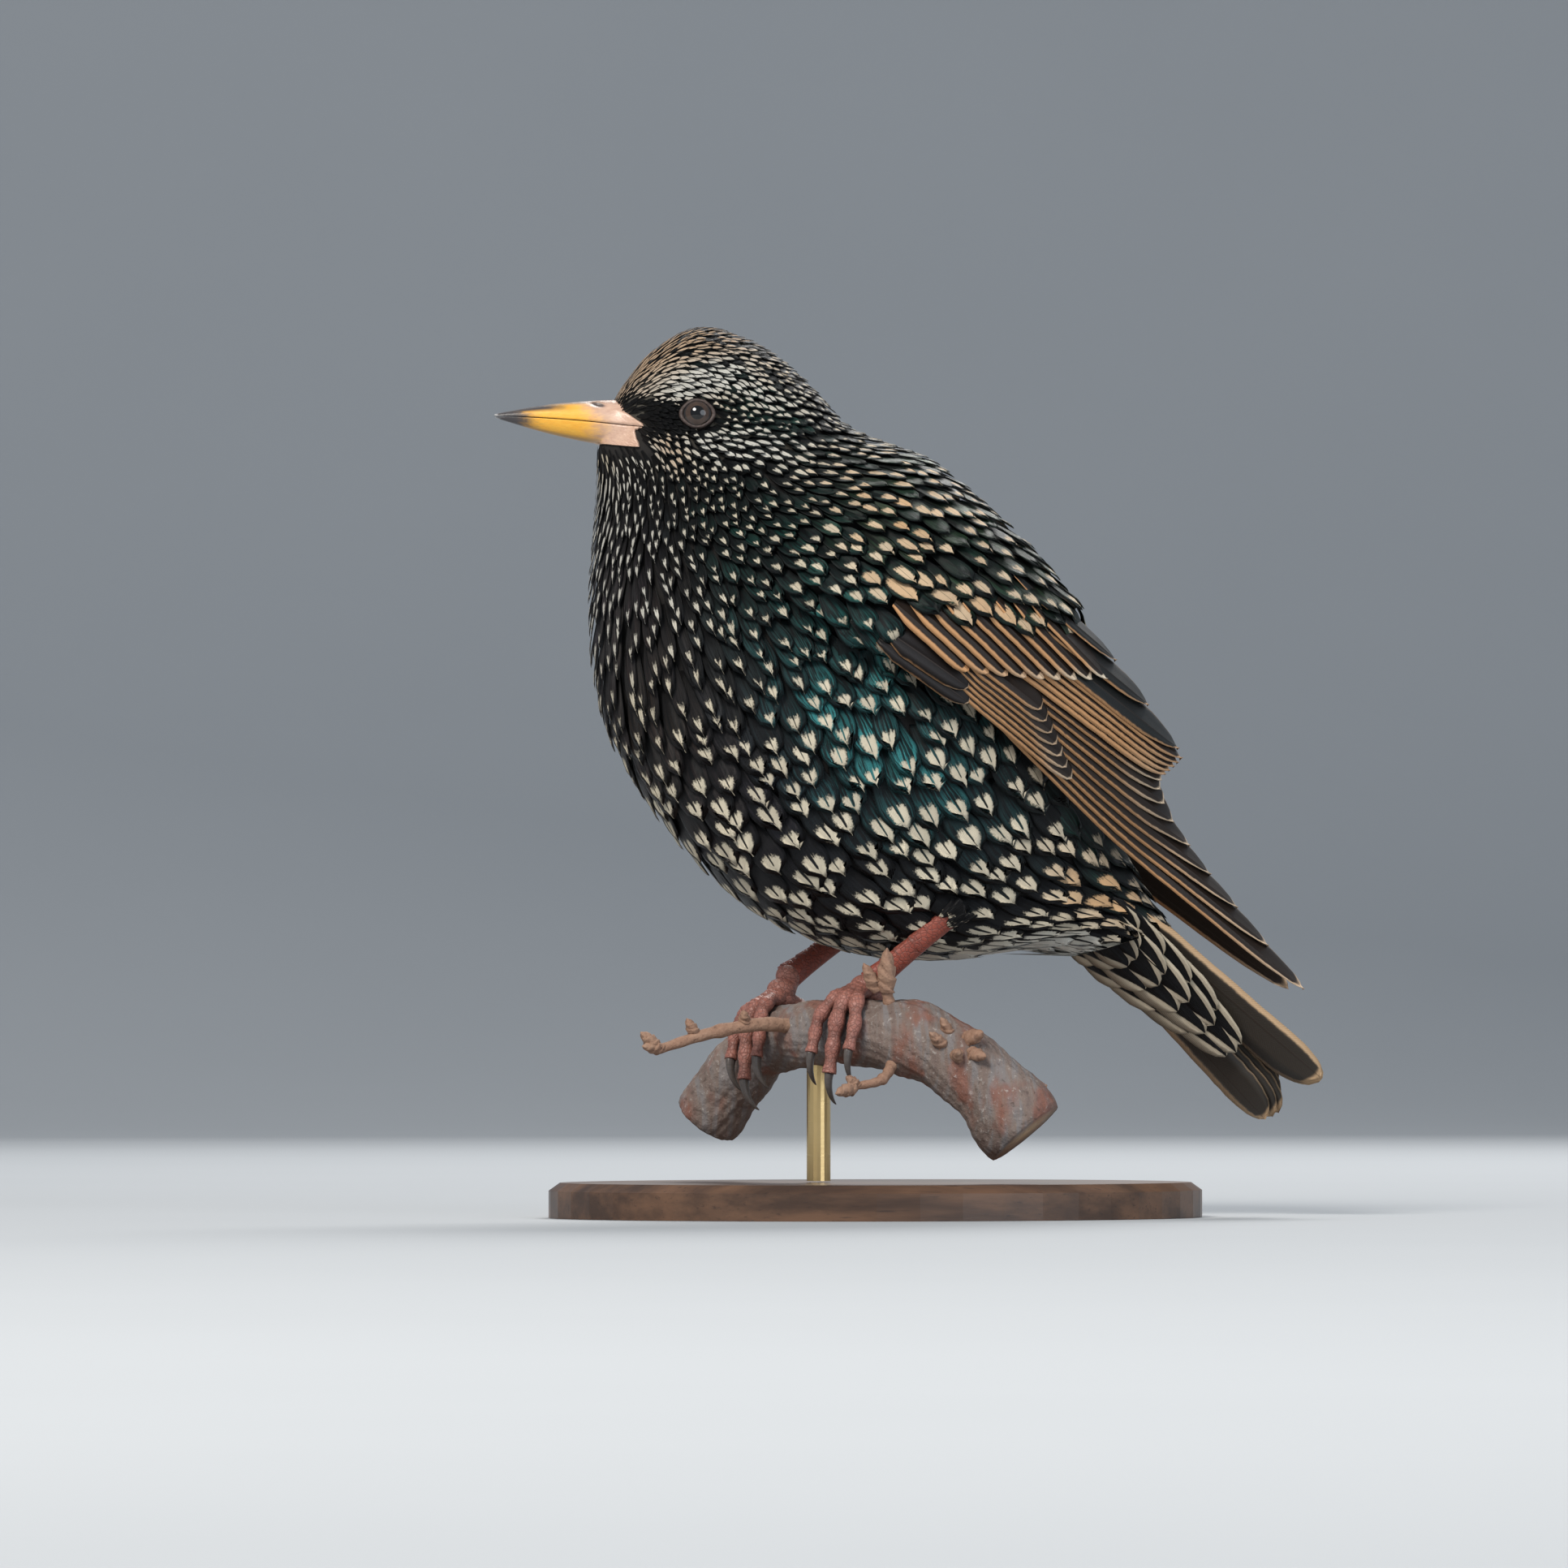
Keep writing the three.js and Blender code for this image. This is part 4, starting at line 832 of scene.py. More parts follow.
def clear_of_eye(s, turn, length):
    """Cuts the length of a feather that would lie over the eye, so that it ends at the lid."""
    share = np.linspace(0, 1, 15)[1:]
    down, _ = body_steps(s, turn)
    along = s[:, None] + share * (length / np.maximum(down, 0.8))[:, None]
    path = body_point(along, np.repeat(turn[:, None], len(share), 1))
    near = np.hypot(path[..., 0] - EYE["x"], path[..., 2] - EYE["z"]) < EYE["lid"]
    near &= np.abs(path[..., 1]) > EYE["aside"]
    return length * np.where(near.any(1), share[np.argmax(near, 1)], 1.0)


def make_coat(plumage):
    """The contour feathers, face to rump, in pieces that each stay well under 200,000 triangles."""
    s, turn, spot = scatter(TRIES, COAT_FROM, COAT_TO, 7)
    gap = spacing_at(s, turn, spot)
    rng = np.random.default_rng(11)
    dark, light, mark = coat_marks(s, turn, spot, rng)
    n = len(s)
    belly = 1 - np.cos(turn)
    hackle = ease(1.1, 1.7, belly) * ease(1.5, 3, s) * ease(10, 7, s)
    face = ease(4.5, 2.5, s)
    length = gap * (2.6 + 1.1 * hackle + 0.9 * face) * rng.uniform(0.9, 1.14, n)
    half = gap * (0.74 - 0.26 * hackle - 0.16 * face) * rng.uniform(0.9, 1.1, n)
    fluff = patch(spot, "loose_fluff") * ease(1.0, 1.5, belly)
    lift = rng.uniform(-0.05, 0.3, n) * (0.25 + 0.16 * gap) + fluff * rng.uniform(0, 1.1, n)
    lean = rng.normal(0, 0.07, n) - 0.75 * np.sign(turn) * patch(spot, "ear")
    whole = clear_of_eye(s, turn, length)
    mark[:, 0] = np.where(whole < 0.8 * length, 0.98, mark[:, 0])
    order = np.argsort(s)
    order = order[whole[order] > 0.5]
    for i, chosen in enumerate(np.array_split(order, -(-len(order) // COAT_PIECE))):
        middle = s[chosen].mean()
        rings, across = (7, FINE_ACROSS) if middle < 4.6 else (8, BROAD_ACROSS)
        blunt = 0.4 + 0.4 * float(np.clip((middle - 4) / 5, 0, 1))
        shape = (x[chosen] for x in (s, turn, whole, half, lift))
        grid, v = body_feathers(*shape, 30 + i, rings, blunt, lean[chosen], across)
        values = dict(dark=dark[chosen], light=light[chosen], mark=mark[chosen])
        roots = unwrap(turn[chosen], s[chosen])
        feather_piece(f"coat_{i + 1}", grid, v, np.append(across, 0.0), plumage, "plumage", values, roots)


def make_skin(material):
    """One closed skin inside the head, neck, torso and rump, deeper where the coat is deeper."""
    s, turn = np.meshgrid(np.linspace(0, BODY_END, 150), circle(120), indexing="ij")
    turned = np.where(turn > np.pi, turn - 2 * np.pi, turn)
    a, _ = wing_place(body_point(s, turn))
    depth = coat_depth(s) + 0.25 + 2.4 * ease(2.2, 0.6, s)
    grid = body_point(s, turn, 0.85 * rise(s, turned) * ease(4, -8, a) - depth)
    pale = ended(patch(grid, "brow") + patch(grid, "cheek"), grid)
    shell("skin", grid, material, "plumage", ("head", "neck", "torso", "rump"), pale=pale)


# Across a long vane: over it from the outer edge to the inner, then back under it.
SHAFT = -0.28
LONG_ACROSS = np.array([-1.0, -0.62, -0.35, SHAFT, -0.21, 0.3, 0.75, 1.0, 0.4, SHAFT, -0.6])
LONG_HEIGHT = np.array([0.03, 0.17, 0.16, 0.34, 0.16, 0.2, 0.12, 0.02, -0.02, -0.12, -0.02])


def columns(*values):
    """Rows of numbers from their columns, each a list or one number for all."""
    return np.stack(np.broadcast_arrays(*values), 1).astype(float)


def long_piece(name, rows, place, rings, seed, material, slot, values, by=(0, 1), stands_for=()):
    """Long feathers. Each row: root a, root b, tip a, tip b, outer web, inner web, lift at the outer edge, lift at
    the inner edge, sag, bluntness. At v along it: the straight line from root to tip less sag sin(pi v); the webs
    widen over the first fifth and close on the last part as sqrt(1 - t^2). The piece's own map is set out by two
    of the columns."""
    ra, rb, ta, tb, outer, inner, low, high, sag, blunt = [column[:, None] for column in rows.T]
    v = 1 - (1 - np.linspace(0, 1, rings)) ** 1.25
    a = ra + (ta - ra) * v
    b = rb + (tb - rb) * v - sag * np.sin(np.pi * v)
    t = np.clip((v - blunt) / (1 - blunt), 0, 1)
    shape = np.clip(0.45 + 2.6 * v, 0, 1) * np.sqrt(np.clip(1 - t**2, 0.004, 1))
    rng = np.random.default_rng(seed)
    wave = rng.uniform(-0.09, 0.09, (len(rows), rings)) * (v > 0.15)
    u = LONG_ACROSS[None, None]
    from_shaft = u - SHAFT
    web = np.where(u < SHAFT, from_shaft / 0.72 * outer[..., None], from_shaft / 1.28 * inner[..., None])
    aside = web * (shape + wave * 0.25)[..., None]
    thick = np.interp(v, [0, 0.1, 0.8, 1], [0.6, 1.0, 0.8, 0.3])[None, :, None]
    lift = low[..., None] + (high - low)[..., None] * (u + 1) / 2 + LONG_HEIGHT * thick
    lift = lift + rng.uniform(-0.06, 0.06, len(rows))[:, None, None]
    grid = place(a[..., None], b[..., None], aside, lift)
    roots = unwrap(rows[:, by[0]], rows[:, by[1]])
    feather_piece(name, grid, v, LONG_ACROSS, material, slot, values, roots, stands_for)


def fan(first, last, count, bow=0.0):
    """Rows of numbers from the first to the last, evenly; bow adds to the tip's a between them."""
    f = np.linspace(0, 1, count)[:, None]
    rows = np.asarray(first, float) + (np.asarray(last, float) - np.asarray(first, float)) * f
    rows[:, 2] += bow * np.sin(np.pi * f[:, 0])
    return rows


def primary_rows(count):
    """The wing's long end feathers, outermost first."""
    f = np.linspace(0, 1, count)
    return columns(
        22 + 6 * f, 1.4 + 7.1 * f,
        76 + 50 * (1 - f) ** 1.9, 0.3 + 12.7 * f**0.9,
        1.5 + 0.4 * f, 3.6 + f,
        1.2 + 1.8 * f, 0.1 + 1.7 * f,
        1.2 - f, 0.86 - 0.06 * f,
    )


def rims(count, rim, tipping, tint, white=(0.0, 0.0)):
    """How wide each feather's pale edge and tip are, how white its tip is from the first feather to the last, and
    the colour of its dark part."""
    rng = np.random.default_rng(5)
    edge = [rim * rng.uniform(0.84, 1.16, count), tipping * rng.uniform(0.84, 1.16, count)]
    edge = columns(*edge, np.linspace(*white, count))
    return dict(rim=edge, tint=np.array(tint) * rng.uniform(0.8, 1.2, (count, 1)))


def make_wing(side, name, quill):
    """The folded wing's long feathers, tier by tier, each tier on the wing's sheet at its own lift."""
    def place(a, b, aside, lift):
        return sheet_point(a, b, aside, lift, side)

    groups = [
        ("primaries", primary_rows(9), (0.27, 0.5, BROWN, (0.5, 0.7)), 34),
        ("secondaries", fan(
            (27, 9.5, 76, 14.2, 2.2, 3.6, 3.5, 2.2, 0, 0.84),
            (30, 15, 77.5, 18.4, 2.3, 3.9, 3.9, 2.6, 0, 0.84), 5), (0.33, 0.7, BROWN, (0.2, 0.1)), 30),
        ("tertials", fan(
            (30, 16, 75.5, 19.2, 3.0, 5.4, 4.2, 3.0, 0, 0.7),
            (26, 23.4, 54, 24.0, 3.0, 5.4, 4.6, 3.4, 0, 0.7), 3), (0.17, 0.6, OILY, (0.1, 0.3)), 30),
        ("primary_coverts", fan(
            (27, -0.6, 60, 1.0, 1.5, 2.9, 2.5, 1.7, 0, 0.8),
            (27, 5.2, 46, 6.6, 1.6, 3.0, 3.8, 3.0, 0, 0.8), 7), (0.3, 0.7, BROWN, (0.6, 0.3)), 20),
        ("greater_coverts", fan(
            (9, 3.6, 29, 2.4, 1.9, 4.2, 4.5, 3.3, 0, 0.76),
            (31, 20.8, 54, 19.4, 2.2, 4.6, 5.0, 3.6, 0, 0.76), 9, 1.2), (0.38, 1.9, BROWN, (0.0, 1.0)), 20),
        ("alula", np.array([
            (11, -3.2, 33, -1.8, 2.0, 3.4, 2.7, 2.5, 0, 0.7),
            (12, -1.2, 31, 0.2, 2.4, 3.0, 3.2, 3.0, 0, 0.62)]), (0.08, 0.3, BLACK, (0.4, 0.4)), 18),
    ]
    for i, (label, rows, look, rings) in enumerate(groups):
        values, stands_for = rims(len(rows), *look), () if i else (f"wing_{name}",)
        seed = 40 + len(label)
        long_piece(f"{label}_{name}", rows, place, rings, seed, quill, "wing_feather", values, (0, 1), stands_for)


def make_wing_pad(side, name, material):
    """The arm's fleshy pad under the coverts: rows across the sheet, outside at its lift and back inside it."""
    u = np.linspace(0, 1, 26)[:, None]
    k = np.linspace(0, 1, 14)[None]
    a = -6 + 64 * u
    low = 8.5 + (0.6 - 8.5) * np.minimum(1, u * 2.4) ** 0.8
    top = 15 + 7.5 * np.sin(np.pi * np.minimum(0.75, u * 1.4))
    b = low + (top - low) * k
    edge = np.sin(np.pi * np.clip(k, 0.02, 0.98)) ** 0.4
    lift = (-2.6 + 4.4 * np.sin(np.pi * (0.02 + 0.84 * u)) ** 0.8) * edge - 1.5 * (1 - edge)
    outside = sheet_point(a, b, 0, lift, side)
    inside = sheet_point(a, b, 0, -(8 + (1.2 - 8) * u**2) * np.ones_like(k), side)[:, ::-1]
    shell(f"wing_arm_{name}", np.concatenate([outside, inside], 1), material, "wing_feather")


# The tiers under the tail's root: where the tips reach, how far aside, how many, how wide, how far down.
UNDERTAIL = ((37, 2.6, 3, 9.4, 1.6), (30, 4.8, 4, 9.6, 2.1), (23, 5.8, 4, 9.4, 2.8), (16, 6.6, 5, 8.8, 3.5),
             (9, 6.8, 6, 7.6, 4.2))


def make_tail(quill, plumage, skin):
    """Twelve tail feathers in pairs, the middle pair on top, and the coverts under their roots. The outer web lies
    on the far side from the tail's middle, so one side's feathers are turned over."""
    f = np.linspace(0, 1, 6)
    reach = TAIL_LENGTH - 7 * (1 - np.minimum(1, f * 1.6)) - 2 * f * f
    level = 2.4 - 4.8 * f
    for side, label in ((-1, "near"), (1, "far")):
        rows = columns(
            -1, side * (1.2 + 4.0 * f), reach, side * (4.0 + 5.2 * f), 3.8, 6.4, level + 0.45, level - 0.45, 0, 0.83
        )

        def turned(a, b, aside, lift):
            return tail_point(a, b - side * aside, lift)

        values, stands_for = rims(len(rows), 0.3, 1.0, ASH), ("tail",) if side < 0 else ()
        long_piece(
            f"tail_feathers_{label}", rows, turned, 30, 90 - side, quill, "tail_feather", values, (2, 3), stands_for
        )
    tiers = []
    for tips, aside, count, width, drop in UNDERTAIL:
        at = np.linspace(-aside, aside, count)
        lean, level = 0.25 * np.sign(at), -2.4 - drop - 0.3 * (1 - (at / 8) ** 2)
        webs = width / 2, width / 2, level - lean, level + lean
        tiers.append(columns(-6, at * 0.8, tips - 0.1 * at**2, at, *webs, 0, 0.66))
    rows = np.concatenate(tiers)

    def under(a, b, aside, lift):
        return tail_point(a, b + aside, 2 * lift.mean(-1, keepdims=True) - lift)

    n = len(rows)
    rng = np.random.default_rng(94)
    values = dict(light=STRAW * rng.uniform(0.85, 1.1, (n, 1)), dark=np.tile(BLACK * 1.2, (n, 1)))
    values["mark"] = columns(rng.uniform(0.3, 0.4, n), 1.3, rng.uniform(1.1, 1.35, n))
    long_piece("undertail_coverts", rows, under, 18, 93, plumage, "tail_feather", values, (2, 3))
    u, turn = np.meshgrid(np.linspace(0, 1, 14), circle(24), indexing="ij")
    grid = tail_point(-6 + 24 * u, (7.0 - 1.2 * u) * np.cos(turn), (4.2 - 3.2 * u) * np.sin(turn) - 0.6)
    shell("tail_root", grid, skin, "tail_feather", pale=ended(0, grid))


BILL_TIP = np.array([-77.6, 159.8])
GAPE = (-47.4, 157.4)


def bill_finish():
    """Horn: dark grey at the tip, yellow in the middle, pinkish cream at the root, in blended bands."""
    f = Finish("bill_horn", Specular_IOR_Level=0.55, IOR=1.54)
    along, high, upper = f.axes(f.reading("horn", True))
    cloud = f.streaks(500.0, 1400.0, 1400.0, 3.0)
    fine = f.streaks(900.0, 5200.0, 5200.0, 2.0)
    at = along + (cloud - 0.5) * 0.16
    yellow = f.mix(cloud, (0.85, 0.36, 0.02), (0.92, 0.52, 0.07))
    root = f.mix(cloud, (0.46, 0.26, 0.19), (0.74, 0.52, 0.38))
    colour = f.mix(at.step(0.2, 0.44), root, yellow)
    culmen = high.step(0.72, 0.98) * upper * at.step(0.62, 0.35)
    colour = f.mix(culmen * 0.8, colour, (0.25, 0.14, 0.08))
    top_dark = high.step(0.3, 0.75) * upper * at.step(0.36, 0.62)
    top_dark = top_dark.most(high.step(0.8, 0.95) * upper * at.step(0.12, 0.3) * 0.8)
    # The nostril's pit is darkened: painted shade in its hollow.
    top_dark = top_dark.most(f.reading("pit").step(0.15, 0.6) * 0.9)
    low_dark = high.step(0.72, 0.95) * (1.0 - upper) * at.step(0.18, 0.4)
    top_dark = top_dark.most(low_dark * 0.6)
    colour = f.mix(at.step(0.66, 0.86).most(top_dark), colour, (0.055, 0.048, 0.05))
    colour = f.mix(at.step(0.95, 1.02), colour, (0.45, 0.45, 0.45))
    colour = f.mix((fine - 0.5) * 0.5, colour, (0.10, 0.07, 0.05))
    return f.out(Base_Color=colour, Roughness=fine * 0.18 + 0.26, Normal=f.relief(fine + cloud * 0.4, 0.25, 0.00015))


def face_reach(x, z):
    """How far out the horn reaches over the face at each place in side view: just under its surface in front of
    the horn's edge, and 1.5 mm deeper behind it."""
    s, turn = np.meshgrid(np.linspace(0.05, 3.5, 90), np.linspace(0.05, 3.1, 120), indexing="ij")
    face = body_point(s, turn).reshape(-1, 3)
    x, z = np.broadcast_arrays(x, z)
    far = (x[..., None] - face[:, 0]) ** 2 + (z[..., None] - face[:, 2]) ** 2
    near = np.argmin(far, -1)
    hit = np.take_along_axis(far, near[..., None], -1)[..., 0] < 0.3
    deep = 0.12 + 1.5 * ease(-0.1, 0.6, x - horn_edge(z))
    return np.where(hit, np.abs(face[near, 1]) - deep, 0.0)


def make_bill(upper, material):
    """Half of the bill: at u from root to tip, an arch over (or under) the mouth line, y = half cos k and the rise
    sin k; the half-width falls as (1 - u)^0.8 and flares at the root where it lies on the face."""
    way = 1 if upper else -1
    u = np.linspace(0, 1, 110)
    u = ((0.75 * u + 0.25 * u**2) * 0.992)[:, None]
    k = np.linspace(0, np.pi, 49)[None]
    root = (-52.6, 163.3) if upper else (-48.6, 153.4)
    tip = BILL_TIP + ((0, 0.35) if upper else (0.6, -0.4))
    bow = 0.7 if upper else -0.8
    edge_x = root[0] + (tip[0] - root[0]) * u
    edge_z = root[1] + (tip[1] - root[1]) * u + bow * np.sin(np.pi * u)
    line_x = GAPE[0] + (BILL_TIP[0] - GAPE[0]) * u
    line_z = GAPE[1] + (BILL_TIP[1] - GAPE[1]) * u + 0.9 * u * (1 - u) * 2 + 0.08 * way
    half = 5.2 * (1 - u) ** 0.8 + 0.3
    arch = np.sin(k) ** (0.78 if upper else 0.86)
    x = line_x + (edge_x - line_x) * arch
    z = line_z + (edge_z - line_z) * arch
    y = half * np.cos(k) * (1 - 0.12 * arch)
    y = y + np.sign(np.cos(k)) * 0.10 * np.exp(-((arch / 0.16) ** 2)) * (1 - u)
    more = face_reach(x, z) * ease(0.42, 0.26, u) - np.abs(y)
    y = np.sign(y) * (np.abs(y) + 0.5 * (more + np.sqrt(more**2 + 0.35)) * ease(0.44, 0.3, u))
    pit = np.zeros(x.shape)
    if upper:
        pit = np.exp(-(((x + 56.9) / 1.35) ** 2) - ((z - 162.15 + 0.12 * (x + 56.9)) / 0.48) ** 2)
        y = y - np.sign(y) * pit * 0.9
    flat = half * np.cos(k[:, -2:0:-1]) * 0.985
    grid = np.concatenate([
        np.stack(np.broadcast_arrays(x, y, z), -1),
        np.stack(np.broadcast_arrays(line_x, flat, line_z + 0.02 * way), -1),
    ], 1)
    horn = np.zeros(grid.shape)
    horn[..., 0] = u
    horn[:, :49, 1] = np.sin(k)
    horn[..., 2] = float(upper)
    hole = np.zeros(grid.shape[:2])
    hole[:, :49] = pit
    horn = np.concatenate([horn.reshape(-1, 3), [[0, 0, 0], [1, 0, 0]]])
    name = "bill_upper" if upper else "bill_lower"
    shell(f"{name}_horn", grid, material, "bill", (name,), horn=horn, pit=ended(hole, grid))


def eye_finish():
    """A wet dark eye: black pupil, dark brown iris with faint rays, darker at its rim."""
    f = Finish("eye_wet", Roughness=0.05, Specular_IOR_Level=0.45, Coat_Weight=0.4, Coat_Roughness=0.02)
    far = f.reading("far")
    iris = f.mix(f.streaks(900.0, 900.0, 900.0, 3.0), (0.022, 0.012, 0.008), (0.07, 0.042, 0.028))
    colour = f.mix(far.step(0.54, 0.48), iris, (0.001, 0.001, 0.001))
    return f.out(Base_Color=f.mix(far.step(0.78, 0.92), colour, (0.01, 0.008, 0.007)))


def lid_finish():
    """Bare dark skin with a fine grain."""
    f = Finish("eyelid", Specular_IOR_Level=0.4)
    grain = f.noise(f.place(), 1500.0)
    colour = f.mix(grain, (0.022, 0.015, 0.013), (0.10, 0.07, 0.06))
    return f.out(Base_Color=colour, Roughness=0.5, Normal=f.relief(grain, 0.6, 0.0002))


def make_eye(side, name, wet, lid):
    """The ball: rings about the outward axis. The lids: a profile turned about that axis, drawn out to a corner
    in front and behind: r(w) = 2.86 + corner, where the corner is 0.35 |cos w|^7."""
    centre = np.array([EYE["x"], side * (-EYE_SURFACE[1] - EYE["sunk"]), EYE["z"]])
    outward = unit(np.array([-0.16, side, 0.1]))
    across = unit(np.cross(outward, [0, 0, 1.0]))
    up = np.cross(across, outward)
    polar = np.linspace(0.04, np.pi - 0.04, 40)[:, None]
    r = EYE["radius"] * 0.985
    rim = r * np.sin(polar)
    dome = 0.16 * np.exp(-((rim / 1.9) ** 2)) * (polar < 1.5)
    grid = spin(centre, across, up, circle(56), rim) + (r * np.cos(polar) + dome)[..., None] * outward
    far = ended(rim / 2.75 + (polar > 1.5), grid, 0, 2)
    shell(f"eye_{name}_ball", grid, wet, "eye", (f"eye_{name}",), far=far)
    ring, section = circle(96)[:, None], circle(14)
    corner = np.abs(np.cos(ring)) ** 7
    fold = 0.05 * np.sin(ring * 17) + 0.04 * np.sin(ring * 41 + 1)
    wide = 2.86 + 0.35 * corner + (0.36 + 0.1 * corner) * np.cos(section)
    out = np.sqrt(EYE["radius"] ** 2 - 2.6**2) - 0.42 + (0.56 + fold) * np.sin(section) - 0.35 * corner
    grid = spin(centre, across, up, ring, wide, wide * 0.93) + out[..., None] * outward
    rings, around = grid.shape[:2]
    piece(f"eyelid_{name}", grid, wrap_faces(rings + 1, around) % (rings * around), (), lid, "plumage")


PERCH_ROUTE = np.array([
    (-30, 26, 19.5), (-24.5, 20.5, 28.5), (-19.5, 13.5, 34.5), (-13, 0, 36.6),
    (-6.5, -12.5, 37), (6, -21, 34.8), (17, -27, 26.5), (24.5, -30, 17),
])


def centripetal(points, count):
    """Evenly spaced points on the centripetal Catmull-Rom curve through the given ones."""
    p = np.asarray(points, float)
    p = np.concatenate([[2 * p[0] - p[1]], p, [2 * p[-1] - p[-2]]])
    fine = []
    for p0, p1, p2, p3 in zip(p, p[1:], p[2:], p[3:]):
        d = [max(np.linalg.norm(b - a) ** 0.5, 1e-4) for a, b in ((p0, p1), (p1, p2), (p2, p3))]
        m1 = ((p1 - p0) / d[0] - (p2 - p0) / (d[0] + d[1]) + (p2 - p1) / d[1]) * d[1]
        m2 = ((p2 - p1) / d[1] - (p3 - p1) / (d[1] + d[2]) + (p3 - p2) / d[2]) * d[1]
        t = np.linspace(0, 1, 60, endpoint=False)[:, None]
        first, second = (2 * t**3 - 3 * t**2 + 1) * p1, (3 * t**2 - 2 * t**3) * p2
        fine.append(first + (t**3 - 2 * t**2 + t) * m1 + second + (t**3 - t**2) * m2)
    fine = np.concatenate(fine + [p[-2:-1]])
    run = np.append(0, np.cumsum(np.linalg.norm(np.diff(fine, axis=0), axis=1)))
    at = np.linspace(0, run[-1], count)
    return np.stack([np.interp(at, run, fine[:, i]) for i in range(3)], 1)


PERCH_LINE = centripetal(PERCH_ROUTE, 401)


def perch_frame(t):
    """The branch's middle, and its directions along, to the front and up, at a share t of its length."""
    at = np.asarray(t, float) * (len(PERCH_LINE) - 1)
    centre, along = (
        np.stack([np.interp(at, np.arange(len(line)), line[:, i]) for i in range(3)], -1)
        for line in (PERCH_LINE, np.gradient(PERCH_LINE, axis=0))
    )
    along = unit(along)
    front = unit(np.cross(along, [0, 0, 1.0]))
    front = np.where(front[..., :1] > 0, -front, front)
    up = unit(np.cross(along, front))
    return centre, along, front, np.where(up[..., 2:] < 0, -up, up)


def perch_radius(t):
    """6.9 at the left end, 6.4 in the middle and 8.6 at the right end, with two slow swells."""
    return np.interp(t, [0, 0.45, 1], [6.9, 6.4, 8.6]) + 0.35 * np.sin(t * 21) + 0.25 * np.sin(t * 47 + 1)


def bark_finish():
    """Young bark: grey-brown with reddish runs, pale bloom, dark cracks and small pores."""
    f = Finish("bark", Specular_IOR_Level=0.3)
    cloud = f.noise(f.place(), 90.0, 5.0)
    fine = f.noise(f.place(), 900.0, 5.0, 0.65)
    red = f.streaks(160.0, 120.0, 60.0, 3.0)
    bands = f.streaks(700.0, 60.0, 90.0, 4.0)
    base = f.mix(cloud, (0.085, 0.058, 0.048), (0.30, 0.235, 0.20))
    base = f.mix(bands.step(0.45, 0.62) * 0.55, base, (0.20, 0.20, 0.21))
    base = f.mix(red.step(0.48, 0.64) * 0.7, base, (0.22, 0.075, 0.045))
    base = f.mix(bands.step(0.52, 0.3) * 0.3, base, (0.11, 0.065, 0.065))
    base = f.mix(fine.step(0.56, 0.72) * 0.6, base, (0.46, 0.43, 0.40))
    brown = f.mix(fine, (0.12, 0.05, 0.032), (0.32, 0.16, 0.10))
    tan = f.mix(cloud, brown, f.mix(fine, (0.26, 0.14, 0.09), (0.56, 0.40, 0.29)))
    base = f.mix(f.reading("bud"), base, tan)
    base = f.mix(f.reading("cut"), base, f.mix(cloud, (0.45, 0.30, 0.17), (0.62, 0.46, 0.29)))
    cracks = fine.step(0.42, 0.3)
    return f.out(
        Base_Color=f.mix(cracks * 0.55, base, (0.05, 0.035, 0.028)),
        Roughness=fine * 0.2 + 0.65,
        Normal=f.relief(fine + cloud * 0.6, 0.7, 0.0008),
    )


def bud_grid(foot, direction, length, thick):
    """A pointed bud: radius thick (0.75, 1 at a third, then falling to a point), with scales as small steps."""
    axis = unit(np.asarray(direction, float))
    side = unit(np.cross(axis, [0.3, 1, 0.2]))
    u, w = np.linspace(0, 1, 40)[:, None], circle(28)
    radius = thick * np.interp(u, [0, 0.33, 0.66, 0.88, 1], [0.75, 1, 0.78, 0.42, 0.06])
    radius = radius * (1 + 0.32 * ((u * 3.4 + w / np.pi) % 1 - 0.5)) * (1 + 0.08 * np.sin(3 * w + 4 * u))
    return spin(foot + (length * u)[..., None] * axis, side, np.cross(axis, side), w, radius)


def on_bark(t, turn, out):
    """A point at a share t of the branch's length, turned round it, and so far out from its bark."""
    centre, _, front, up = perch_frame(t)
    return spin(centre, front, up, turn, perch_radius(t) + out)


# Twigs: their route and thickness. Buds: foot, direction, length, thickness.
TWIGS = (
    ([on_bark(0.4, 0.35, -2.5), (-24, -4.5, 38.6), (-34, -6, 37), (-46, -7, 33.4)], 1.25),
    ([on_bark(0.66, -0.9, -2.5), (-4, -27, 27.6), (-10, -28.5, 26.2)], 1.0),
    ([(-0.4, -17.5, 37.5), (-1.0, -19.6, 42.4), (-1.9, -20.4, 46.2)], 1.3),
)
BUDS = (
    ((-45.2, -7, 33.6), (-1, -0.1, 0.9), 5.2, 1.5),
    ((-37.5, -6.2, 36.2), (-0.6, -0.1, 1), 4.2, 1.25),
    ((-44.5, -7, 33.8), (-1, -0.3, 0.1), 4.6, 1.3),
    ((-9.4, -28.4, 26.3), (-1, -0.2, -0.35), 4.6, 1.4),
    ((-8.8, -28.2, 26.4), (-0.7, -0.2, 0.5), 3.4, 1.1),
    ((-1.6, -20.4, 45.0), (-0.05, -0.25, 1), 9.0, 1.9),
    ((-3.4, -19.6, 45.2), (-0.55, -0.2, 1), 6.4, 1.4),
    ((-27.5, -4.9, 38.2), (-0.2, -0.6, 1), 3.8, 1.2),
)
